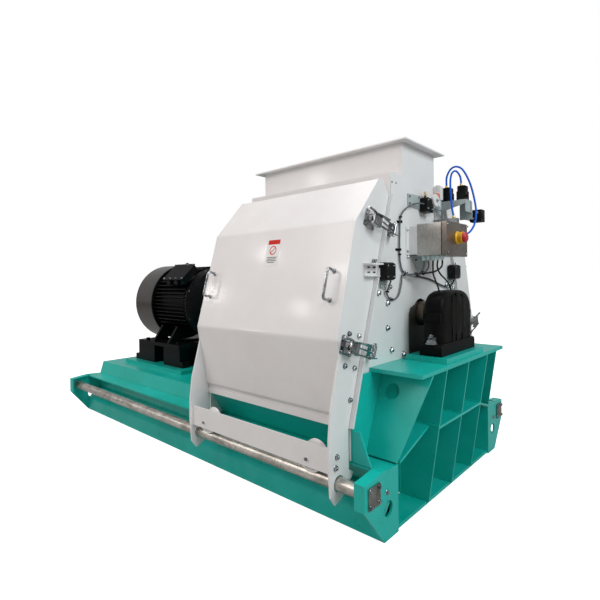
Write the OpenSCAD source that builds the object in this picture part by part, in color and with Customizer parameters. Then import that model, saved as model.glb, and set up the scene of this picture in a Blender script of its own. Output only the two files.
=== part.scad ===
// Hammer mill: a rotor with swinging hammers in a casing on a welded base,
// driven by a foot-mounted motor, with two doors that roll along guide tubes.
// X runs along the shaft towards the control end, Y across, Z up.
// The origin is the centre of the base, on the floor.  Millimetres.

/* [Base] */
// Length of the base over the guide tube brackets
base_len = 3258; // [3240:1:3280]
// Half width of the base where it stands on the floor
foot_half = 737; // [730:1:740]
// Half width of the base between its web plates
web_half = 620; // [618:1:622]
// Top of the ledge that the door hooks reach under
ledge_z = 322; // [320:1:324]
// Top of the motor platform
platform_z = 427; // [425:1:430]
// Top of the bearing support plates
support_z = 755; // [750:1:758]
// How far the top of the end frame leans out past the base
end_lean = 113; // [100:1:115]
// Radius of the anchor bolt holes
anchor_hole_r = 14; // [11:0.5:17]

/* [Guide tubes and doors] */
// Distance of each guide tube from the middle plane
tube_y = 832; // [831:1:833]
// Height of the guide tubes
tube_z = 250; // [249:1:251]
// Outside radius of the guide tubes
tube_r = 33; // [32:0.5:33]
// Radius of the roller groove at its smallest
roller_r = 60; // [59:0.5:60]
// Gap between a closed door and the casing front
door_gap = 3; // [2:0.5:4]

/* [Casing] */
// Outer face of the casing on the motor side
case_x0 = 309; // [305:1:311]
// Outer face of the casing on the control side
case_x1 = 1446; // [1445:1:1448]
// Thickness of the casing plates
wall_t = 10; // [8:1:10]
// Top of the inlet flange
inlet_z = 2000; // [1990:1:2010]
// Half width of the inlet chute
inlet_half = 206; // [200:1:210]

/* [Rotor] */
// Height of the shaft
shaft_z = 996; // [995:1:997]
// Radius of the rotor discs
disc_r = 370; // [350:1:380]
// Radius of the circle of the hammer pins
pin_circle_r = 300; // [298:1:300]
// Radius of a hammer pin
pin_r = 15; // [14:0.5:16]
// Distance from a hammer pin to the hammer's tip
hammer_reach = 195; // [185:1:196]
// Number of rotor discs
disc_count = 9; // [7:1:10]
// Inside radius of the screens
screen_r = 515; // [510:1:520]

/* [Motor] */
// Radius of the fan cowl
cowl_r = 363; // [360:1:364]
// Number of horizontal cooling fins on each side
fin_count = 13; // [9:2:13]

/* [Hidden] */
$fn = 64;

teal = [0.10, 0.62, 0.53];
white = [0.87, 0.86, 0.85];
black = [0.05, 0.05, 0.055];
steel = [0.55, 0.54, 0.52];
bright = [0.75, 0.76, 0.78];

base_half = base_len / 2;
t = 12;                       // thickness of the base plates
gap = 0.4;                    // gap between plates that are separate solids
web_z = ledge_z - t;          // top of the web plates
frame_x = case_x1 + t + gap;  // inner end of the end frame
pad_t = 30;                   // motor pad and bearing pad height
block_top = 628;              // top of the motor support blocks
housing_z = 784;              // underside of the bearing housings
// Casing front, from the top down: distance from the middle plane and height
front_line = [[347, 1674], [593, 950], [656, 778], [749, 490]];
flange_x1 = case_x1 + 20;     // control end of the casing front frame
frame_w = 60;                 // width of the casing front frame along X
axle_z = tube_z + tube_r + roller_r + 0.4;
axle_x = [453, 1288];
door_x = [326, 1443];         // outer faces of the door's side plates
door_t = 10;
housing_x = [71, 1556];       // motor side faces of the two bearing housings
housing_l = 128;
flap_z = 1690;
flap_len = 200;
flap_angle = 50;
motor_x = [-1408, -1092, -600, -473];  // cowl rear, cowl front, fins end, drive end
// Clamp places: distance from the middle plane and height on the casing front line,
// and the slope of that line from the vertical
clamp_upper = [409.5, 1490, 18.77];
clamp_lower = [626, 860, 20.12];

// ---- helpers ----
module block(x0, x1, y0, y1, z0, z1) { translate([x0, y0, z0]) cube([x1 - x0, y1 - y0, z1 - z0]); }
// Plate square to X: its outline is in Y and Z
module xplate(x0, x1, pts) { translate([x0, 0, 0]) rotate([90, 0, 90]) linear_extrude(x1 - x0) polygon(pts); }
// Plate square to Y: its outline is in X and Z
module yplate(y0, y1, pts) { translate([0, y1, 0]) rotate([90, 0, 0]) linear_extrude(y1 - y0) polygon(pts); }
module xcyl(x0, x1, r, y = 0, z = shaft_z) { translate([x0, y, z]) rotate([0, 90, 0]) cylinder(r = r, h = x1 - x0); }
module xring(x0, x1, r, ri, y = 0, z = shaft_z) {
    translate([x0, y, z]) rotate([0, 90, 0]) difference() {
        cylinder(r = r, h = x1 - x0);
        translate([0, 0, -1]) cylinder(r = ri, h = x1 - x0 + 2);
    }
}
module both() { children(); mirror([0, 1, 0]) children(); }
// Hexagon bolt head on a washer, standing out of a face towards +X
module xbolt(x, y, z, af = 24) {
    translate([x, y, z]) rotate([0, 90, 0]) {
        cylinder(r = af * 0.68, h = 3);
        translate([0, 0, 3]) cylinder(r = af / 1.732, h = af * 0.42, $fn = 6);
    }
}
function mirrored(half) = concat(half, [for (i = [len(half) - 1:-1:0]) [-half[i][0], half[i][1]]]);
function shifted(pts, dy) = [for (p = pts) [p[0] + dy, p[1]]];
function reversed(pts) = [for (i = [len(pts) - 1:-1:0]) pts[i]];
function end_x(z) = base_half + z / 740 * end_lean;

// ---- base ----
module base_side_rails() color(teal) both() difference() {
    xplate(-base_half + t, base_half - t,
        [[web_half + 1, 0], [foot_half, 0], [foot_half, 100], [650, 190], [web_half + 1, 190]]);
    xplate(-base_half, base_half,
        [[web_half + 11, 10], [foot_half - 10, 10], [foot_half - 10, 96], [646, 180], [web_half + 11, 180]]);
}

module base_webs() color(teal) {
    both() {
        block(-base_half + t, base_half - t, web_half - 10, web_half, 18 + gap, web_z - gap);
        block(-base_half + t, base_half - t, 600, 740, web_z, ledge_z);
        // Sloping floor of the casing, down to the discharge
        xplate(case_x0 + wall_t + gap, case_x1 - wall_t - gap,
            [[foot_half, 478], [635, ledge_z + 3], [623, ledge_z + 3], [foot_half - 12, 478]]);
    }
}

module base_cross_plates() color(teal) {
    for (x = [-1100, -400, 180])
        block(x, x + 10, -web_half + 11, web_half - 11, 18 + gap, web_z - gap);
    // Plates under the casing's end walls, in a lower and an upper part
    for (x = [case_x0 - t, case_x1]) {
        block(x, x + t, -web_half + 11, web_half - 11, 18 + gap, web_z - gap);
        xplate(x, x + t, [[-736, 326], [-736, 490], [-656, support_z - 20 - gap],
            [656, support_z - 20 - gap], [736, 490], [736, 326]]);
    }
    // Foot plates with the anchor bolt holes
    for (s = [-1, 1]) difference() {
        block(s * 1545 - 84, s * 1545 + 72, -609, 609, 0, 18);
        for (y = [-545, 545]) translate([s * 1545, y, -1]) cylinder(r = anchor_hole_r, h = 20);
    }
    // Ribs under the motor side bearing
    for (y = [-250, 0, 250])
        block(40, 290, y - 6, y + 6, platform_z + gap, support_z - 20 - gap);
}

module motor_platform() color(teal) {
    both() xplate(-base_half, 296, [[584.4, platform_z], [616, ledge_z + gap],
        [604, ledge_z + gap], [584.4, platform_z - 39]]);
    block(-base_half, 296, -584, 584, platform_z - t, platform_z);
    for (x = [-base_half, -1190, -720, -180])
        xplate(x, x + t, [[-603, ledge_z + gap], [-583, platform_z - 39], [-583, platform_z - t - gap],
            [583, platform_z - t - gap], [583, platform_z - 39], [603, ledge_z + gap]]);
    block(-1437, -476, -450, 450, platform_z, platform_z + pad_t);
}

module end_frame() color(teal) {
    rib_low = 420;
    rib_high = 434;
    for (y = [-294, 0, 294]) {
        yplate(y - 5, y + 5, [[frame_x, 18 + gap], [end_x(18), 18 + gap], [end_x(rib_low), rib_low], [frame_x, rib_low]]);
        yplate(y - 5, y + 5, [[frame_x, rib_high], [end_x(rib_high), rib_high],
            [end_x(support_z - 21), support_z - 20 - gap], [frame_x, support_z - 20 - gap]]);
    }
    // Shelf between the two rows of cells, with its two sloping wings
    block(frame_x, end_x(427), -299, 299, rib_low + gap, rib_high - gap);
    both() yz_wing();
    both() end_side_plate();
    // Small gusset that ties the ledge to the casing
    both() yplate(728, 738, [[frame_x, ledge_z + 3], [1560, ledge_z + 3], [1497, 478], [frame_x, 478]]);
}
module yz_wing() {
    xplate(frame_x, 1640, [[299.4, 420.4], [299.4, 433.6], [606, 338], [606, 326]]);
}
// Inclined plate with a round hole that closes the end frame's side
module end_side_plate() {
    slope = atan2(412, 172);
    hole_s = 330.5;
    translate([0, -615, 325]) rotate([slope, 0, 0]) difference() {
        linear_extrude(t) polygon([[frame_x, 3], [base_half, 3], [1740, 438], [frame_x, 438]]);
        translate([1534, hole_s, -1]) cylinder(r = 43, h = t + 2);
    }
}

module bearing_support_plates() color(teal) {
    block(case_x1 + gap, base_half + end_lean, -571, 571, support_z - 20, support_z);
    block(1490, 1724, -262, 262, support_z + gap, housing_z);
    block(20, case_x0 - gap, -300, 300, support_z - 20, support_z);
    block(30, 240, -262, 262, support_z + gap, housing_z);
}

module tube_bracket() {
    difference() {
        xplate(base_half - t, base_half, [[610, 0], [foot_half, 0], [895, 194], [895, 315], [750, 330], [618, ledge_z], [610, ledge_z]]);
        xcyl(base_half - t - 1, base_half + 1, tube_r + 0.2, tube_y, tube_z);
        xcyl(base_half - t - 1, base_half + 1, 38, 701, 146);
        xcyl(base_half - t - 1, base_half + 1, 9, 712, 226);
    }
    // Folded edge
    block(base_half - 57, base_half - t - gap, 885, 895, 194, 304);
    xplate(base_half - 57, base_half - t - gap, [[752, 319.5], [752, 329.5], [895, 315], [895, 305]]);
}
module tube_brackets() color(teal) both() {
    tube_bracket();
    mirror([1, 0, 0]) tube_bracket();
}

module tube_end_cap() {
    block(base_half, base_half + 8, 777, 871, 199, 297);
    for (y = [790, 858], z = [213, 283]) xbolt(base_half + 8, y, z, 17);
}
module tube_end_caps() color(steel) both() {
    tube_end_cap();
    mirror([1, 0, 0]) tube_end_cap();
}

module guide_tubes() color(steel) both() difference() {
    xcyl(-base_half, base_half, tube_r, tube_y, tube_z);
    xcyl(-base_half - 1, base_half + 1, tube_r - 5, tube_y, tube_z);
}

// ---- casing ----
module casing_end_wall(x) difference() {
    xplate(x, x + wall_t, mirrored([[inlet_half, inlet_z - 8 - gap], [inlet_half, 1800], [338, 1800],
        [333, 1674], [580, 950], [643, 778], [736, 490], [736, 326]]));
    xcyl(x - 1, x + wall_t + 1, 90);
}
module casing_end_walls() color(white) {
    casing_end_wall(case_x0);
    casing_end_wall(case_x1 - wall_t);
}

module casing_frames() color(white) {
    // Strips along the two ends of each door opening
    for (x = [[case_x0, case_x0 + frame_w], [flange_x1 - frame_w, flange_x1]])
        both() xplate(x[0], x[1], concat(front_line, reversed(shifted(front_line, -12))));
    both() {
        // Bottom strip, top strip and roof
        xplate(case_x0 + frame_w + gap, flange_x1 - frame_w - gap,
            [[748.5, 490.4], [731, 545], [719, 545], [736.5, 490.4]]);
        xplate(case_x0, case_x1, [[340.4, 1800], [347.4, 1674.4], [338, 1674.4], [338.4, 1799.5]]);
        block(case_x0 + wall_t + gap, case_x1 - wall_t - gap, inlet_half + gap, 338, 1790, 1799.5);
    }
}

module inlet_chute() color(white) {
    both() {
        block(case_x0 + wall_t + gap, case_x1 - wall_t - gap, inlet_half - 10, inlet_half, 1700, inlet_z - 8 - gap);
        block(case_x0 - 55, case_x1 + 51, inlet_half - 10, 254, inlet_z - 8, inlet_z);
    }
    for (x = [[case_x0 - 55, case_x0 + wall_t], [case_x1 - wall_t, case_x1 + 51]])
        block(x[0], x[1], -inlet_half + 10 + gap, inlet_half - 10 - gap, inlet_z - 8, inlet_z);
}

module slot_cover(x) difference() {
    xplate(x, x + 4, mirrored([[36, 1066], [131, 1035], [150, 1000], [150, support_z + 1]]));
    xcyl(x - 1, x + 5, 76);
}
module shaft_slot_covers() color([0.22, 0.22, 0.22]) {
    slot_cover(case_x1 + gap);
    slot_cover(case_x0 - 4 - gap);
}

// Ring sector about the shaft, front side, between two angles above the horizontal
module sector(x0, x1, ri, ro, a0, a1) {
    steps = 8;
    arc = [for (i = [0:steps]) let (a = a0 + (a1 - a0) * i / steps) [-900 * cos(a), 900 * sin(a)]];
    translate([x0, 0, shaft_z]) rotate([90, 0, 90]) linear_extrude(x1 - x0) intersection() {
        difference() {
            circle(r = ro, $fn = 128);
            circle(r = ri, $fn = 128);
        }
        polygon(concat([[0, 0]], arc));
    }
}
module screens() color(steel)
    both() sector(case_x0 + 12, case_x1 - 12, screen_r, screen_r + 4, -84, 45);
module screen_frames() color(steel)
    for (x = [case_x0 + 14, 867, case_x1 - 34])
        both() sector(x, x + 20, screen_r + 4.3, screen_r + 20, -83, 44);

// ---- bearings ----
module bearing_housing(x, blind) {
    inner = housing_l / 2;
    difference() {
        union() {
            block(x, x + housing_l, -235, 235, housing_z, 850);
            xplate(x + 8, x + housing_l - 8, [[-180, 849], [-178, 1000], [178, 1000], [180, 849]]);
            block(x + 14, x + housing_l - 14, -205, 205, 962, 1022);
            xcyl(x + 4, x + housing_l - 4, 142);
            xcyl(x, x + housing_l, 112);
        }
        xcyl(x + 20, x + housing_l - 20, 105);
        xcyl(x - 1, x + (blind ? housing_l - 8 : housing_l + 1), 56);
    }
    // Outer ring of the spherical roller bearing
    xring(x + inner - 32, x + inner + 32, 105, 88);
    // Cap bolts and base bolts
    for (bx = [x + 32, x + housing_l - 32], y = [-185, 185]) zbolt(bx, y, 1022, 24);
    for (y = [-208, 208]) zbolt(x + inner, y, 850, 36);
}
module zbolt(x, y, z, af) {
    translate([x, y, z]) {
        cylinder(r = af * 0.68, h = 4);
        translate([0, 0, 4]) cylinder(r = af / 1.732, h = af * 0.5, $fn = 6);
    }
}
module bearing_housings() color(black) {
    bearing_housing(housing_x[0], false);
    bearing_housing(housing_x[1], true);
}

// ---- motor ----
module motor_frame() color(black) {
    fin_pitch = 34;
    translate([motor_x[1] + gap, 0, shaft_z]) rotate([90, 0, 90])
        linear_extrude(motor_x[2] - motor_x[1] - 2 * gap) difference() {
            union() {
                circle(r = 300, $fn = 128);
                intersection() {
                    circle(r = 342, $fn = 128);
                    for (i = [0:fin_count - 1]) {
                        h = (i - (fin_count - 1) / 2) * fin_pitch;
                        translate([-345, h - 4]) square([690, 8]);
                        if (abs(h) < 170) translate([h - 4, 0]) square([8, 345]);
                    }
                }
            }
            circle(r = 270, $fn = 128);
        }
    // Shields at the two ends
    xring(motor_x[1] + gap, motor_x[1] + 20, 269.8, 46);
    translate([motor_x[2], 0, shaft_z]) rotate([0, 90, 0]) rotate_extrude($fn = 128)
        polygon([[46, 0], [330, 0], [330, 22], [302, 46], [200, 92], [150, 100], [150, 127], [46, 127]]);
    // Feet with their gussets
    both() {
        block(-1230, -552, 250, 420, block_top, block_top + 32);
        for (x = [-1000, -760])
            xplate(x, x + 26, [[262, block_top + 32 + gap], [405, block_top + 32 + gap], [312, 800], [262, 800]]);
    }
}

module motor_fan_cowl() color([0.17, 0.19, 0.23]) {
    len_c = motor_x[1] - motor_x[0];
    translate([motor_x[0], 0, shaft_z]) rotate([0, 90, 0]) rotate_extrude($fn = 128)
        polygon([[250, 0], [345, 0], [cowl_r, 18], [cowl_r, len_c - gap], [cowl_r - 4, len_c - gap],
            [cowl_r - 4, 20], [343, 4], [250, 4]]);
    translate([motor_x[0], 0, shaft_z]) rotate([90, 0, 90]) linear_extrude(4) {
        difference() { circle(r = 250, $fn = 96); circle(r = 242, $fn = 96); }
        for (r = [60, 105, 150, 195]) difference() { circle(r = r + 5, $fn = 96); circle(r = r - 5, $fn = 96); }
        for (a = [0:30:150]) rotate(a) square([490, 8], center = true);
    }
}

module motor_terminal_box() color(black)
    translate([-880, -243, 1243]) rotate([45, 0, 0]) {
        block(0, 300, -100, 100, 3, 80);
        block(-6, 306, -106, 106, 80.4, 92);
    }

module motor_support_blocks() color(black) {
    for (x = [[-1314, -1027], [-869, -612]])
        block(x[0], x[1], -376, 376, platform_z + pad_t, block_top);
    both() {
        block(-1372, -1314.4, 300, 376, platform_z + pad_t, 510);
        block(-611.6, -570, 300, 376, platform_z + pad_t, 510);
        for (x = [-1130, -620]) zbolt(x, 380, block_top + 32, 30);
    }
}

module motor_stator() color([0.45, 0.25, 0.12]) xring(-1000, -640, 269.7, 190);

module motor_rotor() color(steel) {
    difference() { xcyl(-1000, -640, 188.5); xcyl(-1001, -639, 45); }
    xcyl(-1345, -210, 45);
}
module motor_fan() color(black) {
    xring(-1320, -1180, 65, 45);
    for (a = [0:45:315]) translate([0, 0, shaft_z]) rotate([a, 0, 0]) block(-1315, -1185, -3, 3, 66, 300);
}

coupling_r = 150;
module coupling_motor_half() color(steel) {
    xring(-330, -210, coupling_r, 45);
    for (a = [0:60:300]) translate([0, 0, shaft_z]) rotate([a, 0, 0]) xcyl(-210, -150, 9, 0, 110);
}
module coupling_mill_half() color(steel) difference() {
    xcyl(-200, -80, coupling_r);
    xcyl(-201, -79, 50);
    for (a = [0:60:300]) translate([0, 0, shaft_z]) rotate([a, 0, 0]) xcyl(-201, -140, 14, 0, 110);
}
module coupling_guard() color(teal) {
    both() block(-440, 10, 200, 206, platform_z + gap, 1199);
    block(-440, 10, -206, 206, 1199.4, 1205);
}

// ---- rotor ----
module rotor_shaft() color(steel) {
    xcyl(-200, 20, 50);
    xcyl(20, 240, 55);
    xcyl(240, 1500, 70);
    xcyl(1500, 1672, 55);
    // Sealing sleeves where the shaft passes the casing walls
    for (x = [[248, 330], [1425, 1498]]) xring(x[0], x[1], 73, 70);
    // Inner rings of the spherical roller bearings
    for (x = housing_x) xring(x + 32, x + 96, 74, 55);
}
disc_t = 12;
disc_x0 = 345;
disc_pitch = (1398 - disc_x0) / (disc_count - 1);
module rotor_discs() color([0.4, 0.38, 0.36]) {
    for (i = [0:disc_count - 1]) difference() {
        xcyl(disc_x0 + i * disc_pitch, disc_x0 + i * disc_pitch + disc_t, disc_r);
        xcyl(0, 1500, 70);
        for (a = [0:90:270]) pin_at(a) xcyl(0, 1500, pin_r, 0, 0);
    }
    for (i = [0:disc_count - 2])
        xring(disc_x0 + i * disc_pitch + disc_t + 0.2, disc_x0 + (i + 1) * disc_pitch - 0.2, 92, 70);
}
// Place children at the pin that stands at angle a from the top
module pin_at(a) { translate([0, -pin_circle_r * sin(a), shaft_z + pin_circle_r * cos(a)]) children(); }
module hammer_pins() color(bright)
    for (a = [0:90:270]) pin_at(a) {
        xcyl(disc_x0 - 8, disc_x0 + (disc_count - 1) * disc_pitch + disc_t + 8, pin_r, 0, 0);
        xring(disc_x0 - 8, disc_x0, pin_r + 8, pin_r, 0, 0);
        xring(disc_x0 + (disc_count - 1) * disc_pitch + disc_t,
            disc_x0 + (disc_count - 1) * disc_pitch + disc_t + 8, pin_r + 8, pin_r, 0, 0);
    }
// One row of hammers, each hanging from the pin at angle a, staggered along X
module hammers(a, stagger) {
    hammer_t = 8;
    hammer_w = 60;
    for (i = [0:disc_count - 2]) {
        x = disc_x0 + i * disc_pitch + disc_t + stagger;
        pin_at(a) difference() {
            block(x, x + hammer_t, -hammer_w / 2, hammer_w / 2, -hammer_reach, 34);
            xcyl(x - 1, x + hammer_t + 1, pin_r + 0.08, 0, 0);
            xcyl(x - 1, x + hammer_t + 1, pin_r + 0.08, 0, 34 - hammer_reach);
        }
    }
}
module hammers_top() color(steel) hammers(0, 20);
module hammers_front() color(steel) hammers(90, 45);
module hammers_bottom() color(steel) hammers(180, 70);
module hammers_rear() color(steel) hammers(270, 95);

// ---- inlet flap ----
module inlet_flap() color(white) {
    translate([0, 0, flap_z]) rotate([flap_angle, 0, 0])
        block(case_x0 + wall_t + 6, case_x1 - wall_t - 6, -4, 4, 10, flap_len);
    xcyl(case_x0 + wall_t + 2, case_x1 - wall_t - 2, 14, 0, flap_z);
}

// ---- doors ----
// Outline of a door's side plate: outer edge, hook under the ledge, then the edge on the casing
door_outline = concat(
    [[415, 1750], [450, 1745], [671, 1500], [836, 919], [823, 829], [887, 596], [902, 473], [905, 340],
        [894, 202], [861, 157], [800, 182], [762, 222], [714, 262], [716, 270], [751, 290]],
    reversed(concat(shifted(front_line, door_gap), [[752, 318]])));
module door_frame() {
    for (x = [door_x[0], door_x[1] - door_t]) difference() {
        xplate(x, x + door_t, door_outline);
        xcyl(x - 1, x + door_t + 1, 39.5, tube_y, tube_z);
    }
    // Track bar with the two roller axles
    difference() {
        block(door_x[0] + door_t + gap, door_x[1] - door_t - gap, 875, 885, 306, 425);
        for (x = axle_x) axle(x, 870, 890);
    }
    for (x = axle_x) axle(x, 792, 889);
    // Lugs that the clamps pull on
    for (c = [clamp_upper, clamp_lower]) clamp_at(c) block(door_x[1] + gap, 1476, 120, 150, -25, 25);
    // Interlock tongue
    block(door_x[1] + gap, 1496, 500, 612, 1282, 1290);
    block(door_x[1] + gap, 1447, 500, 612, 1226, 1281.6);
}
module axle(x, y0, y1) { translate([x, y1, axle_z]) rotate([90, 0, 0]) cylinder(r = 12, h = y1 - y0); }

// Door panel: a bent sheet between the side plates
panel_line = [[452, 1743], [671, 1500], [836, 919], [780, 552], [762, 536], [762, 484]];
panel_inner = [[447, 1736], [665, 1496], [829.5, 919], [774.5, 555], [756, 539], [756, 484]];
module door_panel()
    xplate(door_x[0] + door_t + gap, door_x[1] - door_t - gap, concat(panel_line, reversed(panel_inner)));

// Two bow handles on the middle face of the panel
module door_handle(x) {
    slope = atan2(165, 581);
    mid = [(671 + 836) / 2, (1500 + 919) / 2 - 30];
    translate([x, mid[0] + 9, mid[1]]) rotate([slope, 0, 0]) {
        translate([0, 54, -80]) cylinder(r = 6, h = 160, $fn = 24);
        for (z = [-74, 74]) translate([0, -0.4, z]) rotate([-90, 0, 0]) cylinder(r = 6, h = 48.4, $fn = 24);
    }
}
module door_handles() for (x = [394, 1361]) door_handle(x);

// Grooved roller, turning about Y, whose groove follows the guide tube
module door_roller(x) {
    groove_r = tube_r + 0.5;
    d = axle_z - tube_z;
    groove = [for (w = [-28:3.5:28]) [d - sqrt(groove_r * groove_r - w * w) - 0.1, w]];
    translate([x, tube_y, axle_z]) rotate([90, 0, 0]) rotate_extrude($fn = 96)
        polygon(concat([[12.05, -36], [78, -36]], groove, [[78, 36], [12.05, 36]]));
}

module rear() { mirror([0, 1, 0]) children(); }
module front_door_frame() color(white) rear() door_frame();
module front_door_panel() color(white) rear() door_panel();
module front_door_handles() color(bright) rear() door_handles();
module rear_door_frame() color(white) door_frame();
module rear_door_panel() color(white) door_panel();
module rear_door_handles() color(bright) door_handles();
module front_roller_motor_end() color(white) rear() door_roller(axle_x[0]);
module front_roller_control_end() color(white) rear() door_roller(axle_x[1]);
module rear_roller_motor_end() color(white) door_roller(axle_x[0]);
module rear_roller_control_end() color(white) door_roller(axle_x[1]);

// ---- clamps ----
// Local frame of a clamp: Y out of the casing's front, Z up along it (rear side)
module clamp_at(c) { translate([0, c[0], c[1]]) rotate([c[2], 0, 0]) children(); }
clamp_pivot = [1486, -46];
module clamp_base(c) clamp_at(c) {
    block(case_x1 + gap, 1452, -78, -16, -44, 44);
    for (z = [-36, 28]) difference() {
        block(1452, 1500, -74, -20, z, z + 8);
        translate([clamp_pivot[0], clamp_pivot[1], z - 1]) cylinder(r = 6, h = 10);
    }
    translate([clamp_pivot[0], clamp_pivot[1], -42]) cylinder(r = 6, h = 84);
}
module clamp_lever(c) clamp_at(c) difference() {
    union() {
        translate([clamp_pivot[0], clamp_pivot[1], -27]) cylinder(r = 12, h = 54);
        block(1480, 1490, -46, 235, -20, 20);
        block(1454, 1480.5, 160, 168, -20, 20);
    }
    translate([clamp_pivot[0], clamp_pivot[1], -30]) cylinder(r = 6.06, h = 60);
}
module clamp_bases() color(bright) both() for (c = [clamp_upper, clamp_lower]) clamp_base(c);
module clamp_lever_front_upper() color(bright) rear() clamp_lever(clamp_upper);
module clamp_lever_front_lower() color(bright) rear() clamp_lever(clamp_lower);
module clamp_lever_rear_upper() color(bright) clamp_lever(clamp_upper);
module clamp_lever_rear_lower() color(bright) clamp_lever(clamp_lower);

module casing_bolts() color(bright) {
    wall_y = [[364, 1164], [387, 1077], [390, 942], [351, 817], [219, 777], [477, 1135]];
    both() for (p = wall_y) xbolt(case_x1, p[0], p[1]);
    both() for (p = [[470, 700], [600, 640]]) mirror([1, 0, 0]) xbolt(-case_x0 + t, p[0], p[1]);
}

// ---- controls ----
box_x = [1500, 1645, 1679];
box_y = [-139, 146];
box_zr = [1336, 1522];
estop_at = [5, 1438];
module control_box() color([0.6, 0.58, 0.55]) {
    difference() {
        block(box_x[0], box_x[1], box_y[0], box_y[1], box_zr[0], box_zr[1]);
        block(box_x[0] + 3, box_x[1] + 1, box_y[0] + 3, box_y[1] - 3, box_zr[0] + 3, box_zr[1] - 3);
    }
    difference() {
        block(box_x[1] + gap, box_x[2], box_y[0] - 2, box_y[1] + 2, box_zr[0] - 3, box_zr[1] + 3);
        xcyl(box_x[1], box_x[2] + 1, 16, estop_at[0], estop_at[1]);
    }
    // Yellow collar of the emergency stop
    xring(box_x[2], box_x[2] + 4, 36, 16, estop_at[0], estop_at[1]);
    xring(box_x[2] + 4, box_x[2] + 36, 31, 28, estop_at[0], estop_at[1]);
    // Stand-off bracket and the gusset below
    block(case_x1 + gap, case_x1 + 6, box_y[0] - 30, box_y[1] + 30, 1345, 1512);
    for (y = [box_y[0], box_y[1] - 6]) block(case_x1 + 6, box_x[0] - gap, y, y + 6, 1350, 1506);
    xplate(case_x1 + gap, case_x1 + 6, [[-123, 1344], [-30, 1250], [40, 1250], [140, 1344]]);
}
module estop_button() color([0.75, 0.06, 0.06]) {
    xcyl(box_x[2] - 20, box_x[2] + 30, 10, estop_at[0], estop_at[1]);
    xcyl(box_x[2] + 30, box_x[2] + 56, 27, estop_at[0], estop_at[1]);
}
gland_x = [for (i = [0:4]) 1520 + i * 28];
gland_y = -95;
module cable_glands() color([0.7, 0.75, 0.75])
    for (x = gland_x) translate([x, gland_y, 0]) {
        translate([0, 0, box_zr[0] - 10 - gap]) cylinder(r = 13, h = 10, $fn = 6);
        translate([0, 0, box_zr[0] - 26]) cylinder(r = 10, h = 15.5);
    }

module limit_switches() color(black) {
    // Door interlock switches with their carriers
    both() {
        block(case_x1 + 12, 1500, 300, 444, 1200, 1296);
        block(case_x1 + gap, case_x1 + 11.6, 320, 430, 1186, 1290);
    }
    // Position sensor of the inlet flap on its carrier plate
    block(case_x1 + gap, case_x1 + 6, -150, 60, 1625, 1712);
    block(case_x1 + 6.4, case_x1 + 46, 10, 72, 1628, 1684);
    xcyl(case_x1 + 46.4, case_x1 + 66, 30, 78, 1690);
}

shelf_z = 1696;
module air_valves() color(black) {
    block(case_x1 + gap, 1640, 232, 334, shelf_z - 4, shelf_z);
    block(1634, 1640, 232, 334, shelf_z - 76, shelf_z - 4.4);
    for (x = [1478, 1574]) {
        block(x, x + 56, 248, 316, shelf_z + gap, shelf_z + 92);
        translate([x + 20, 280, shelf_z + 92]) cylinder(r = 9, h = 16);
    }
    // Manifold bars that the hoses run to
    block(case_x1 + gap, 1600, 192, 228, 1548, 1580);
    translate([1572, 210, 1580]) cylinder(r = 8, h = 12);
    block(case_x1 + gap, 1612, 192, 228, 1460, 1490);
    xcyl(1612, 1624, 8, 210, 1475);
}
module air_regulator() color(white) {
    block(case_x1 + gap, 1500, 186, 228, 1704, 1800);
    translate([1476, 207, 1640]) cylinder(r = 20, h = 63.5);
    translate([1476, 207, 1604]) cylinder(r = 12, h = 35.5);
}
knob_y = 186;
module regulator_knob() color([0.9, 0.3, 0.05])
    translate([1480, knob_y - gap, 1730]) rotate([90, 0, 0]) cylinder(r = 15, h = 24, $fn = 32);

module door_lock_cylinder() color(black) {
    block(1592, 1598, 340, 452, 1580, 1650);
    block(1560, 1640, 334.4, 340, 1580, 1691);
    block(1598.4, 1672, 400, 470, 1566, 1648);
}

// Round tube swept along points p, with radius r and s sides; ref is never along the tube
module sweep(p, r, ref, s = 8) {
    n = len(p);
    rings = [for (i = [0:n - 1])
        let (d = p[min(i + 1, n - 1)] - p[max(i - 1, 0)], w = d / norm(d),
            uu = cross(w, ref), u = uu / norm(uu), v = cross(w, u))
        for (k = [0:s - 1]) p[i] + r * (cos(360 * k / s) * u + sin(360 * k / s) * v)];
    faces = concat([[for (k = [0:s - 1]) k]],
        [for (i = [0:n - 2], k = [0:s - 1]) [i * s + k, (i + 1) * s + k, (i + 1) * s + (k + 1) % s]],
        [for (i = [0:n - 2], k = [0:s - 1]) [i * s + k, (i + 1) * s + (k + 1) % s, i * s + (k + 1) % s]],
        [[for (k = [s - 1:-1:0]) (n - 1) * s + k]]);
    polyhedron(rings, faces);
}
// Smooth curve through points q (Catmull-Rom), with m steps to a stretch
function smooth(q, m = 4) = let (n = len(q)) concat([for (i = [0:n - 2], j = [0:m - 1])
    let (a = q[max(i - 1, 0)], b = q[i], c = q[i + 1], d = q[min(i + 2, n - 1)], f = j / m)
    0.5 * (2 * b + (c - a) * f + (2 * a - 5 * b + 4 * c - d) * f * f + (3 * b - a - 3 * c + d) * f * f * f)],
    [q[n - 1]]);

hose_a = [[1498, 280, 1805], [1500, 280, 1860], [1525, 280, 1905], [1561, 282, 1918], [1602, 286, 1892],
    [1640, 298, 1810], [1664, 306, 1710], [1678, 300, 1620], [1676, 280, 1545], [1664, 244, 1496], [1646, 217, 1477],
    [1625, 210, 1475]];
hose_b = [[1594, 280, 1805], [1589, 276, 1850], [1570, 262, 1884], [1552, 244, 1874], [1545, 232, 1830],
    [1547, 226, 1765], [1552, 221, 1710], [1561, 212, 1650], [1572, 210, 1593]];
module air_hoses() color([0.03, 0.2, 0.85]) {
    sweep(smooth(hose_a), 6, [0, 1, 0]);
    sweep(smooth(hose_b), 6, [0, 1, 0.2]);
}

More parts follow.
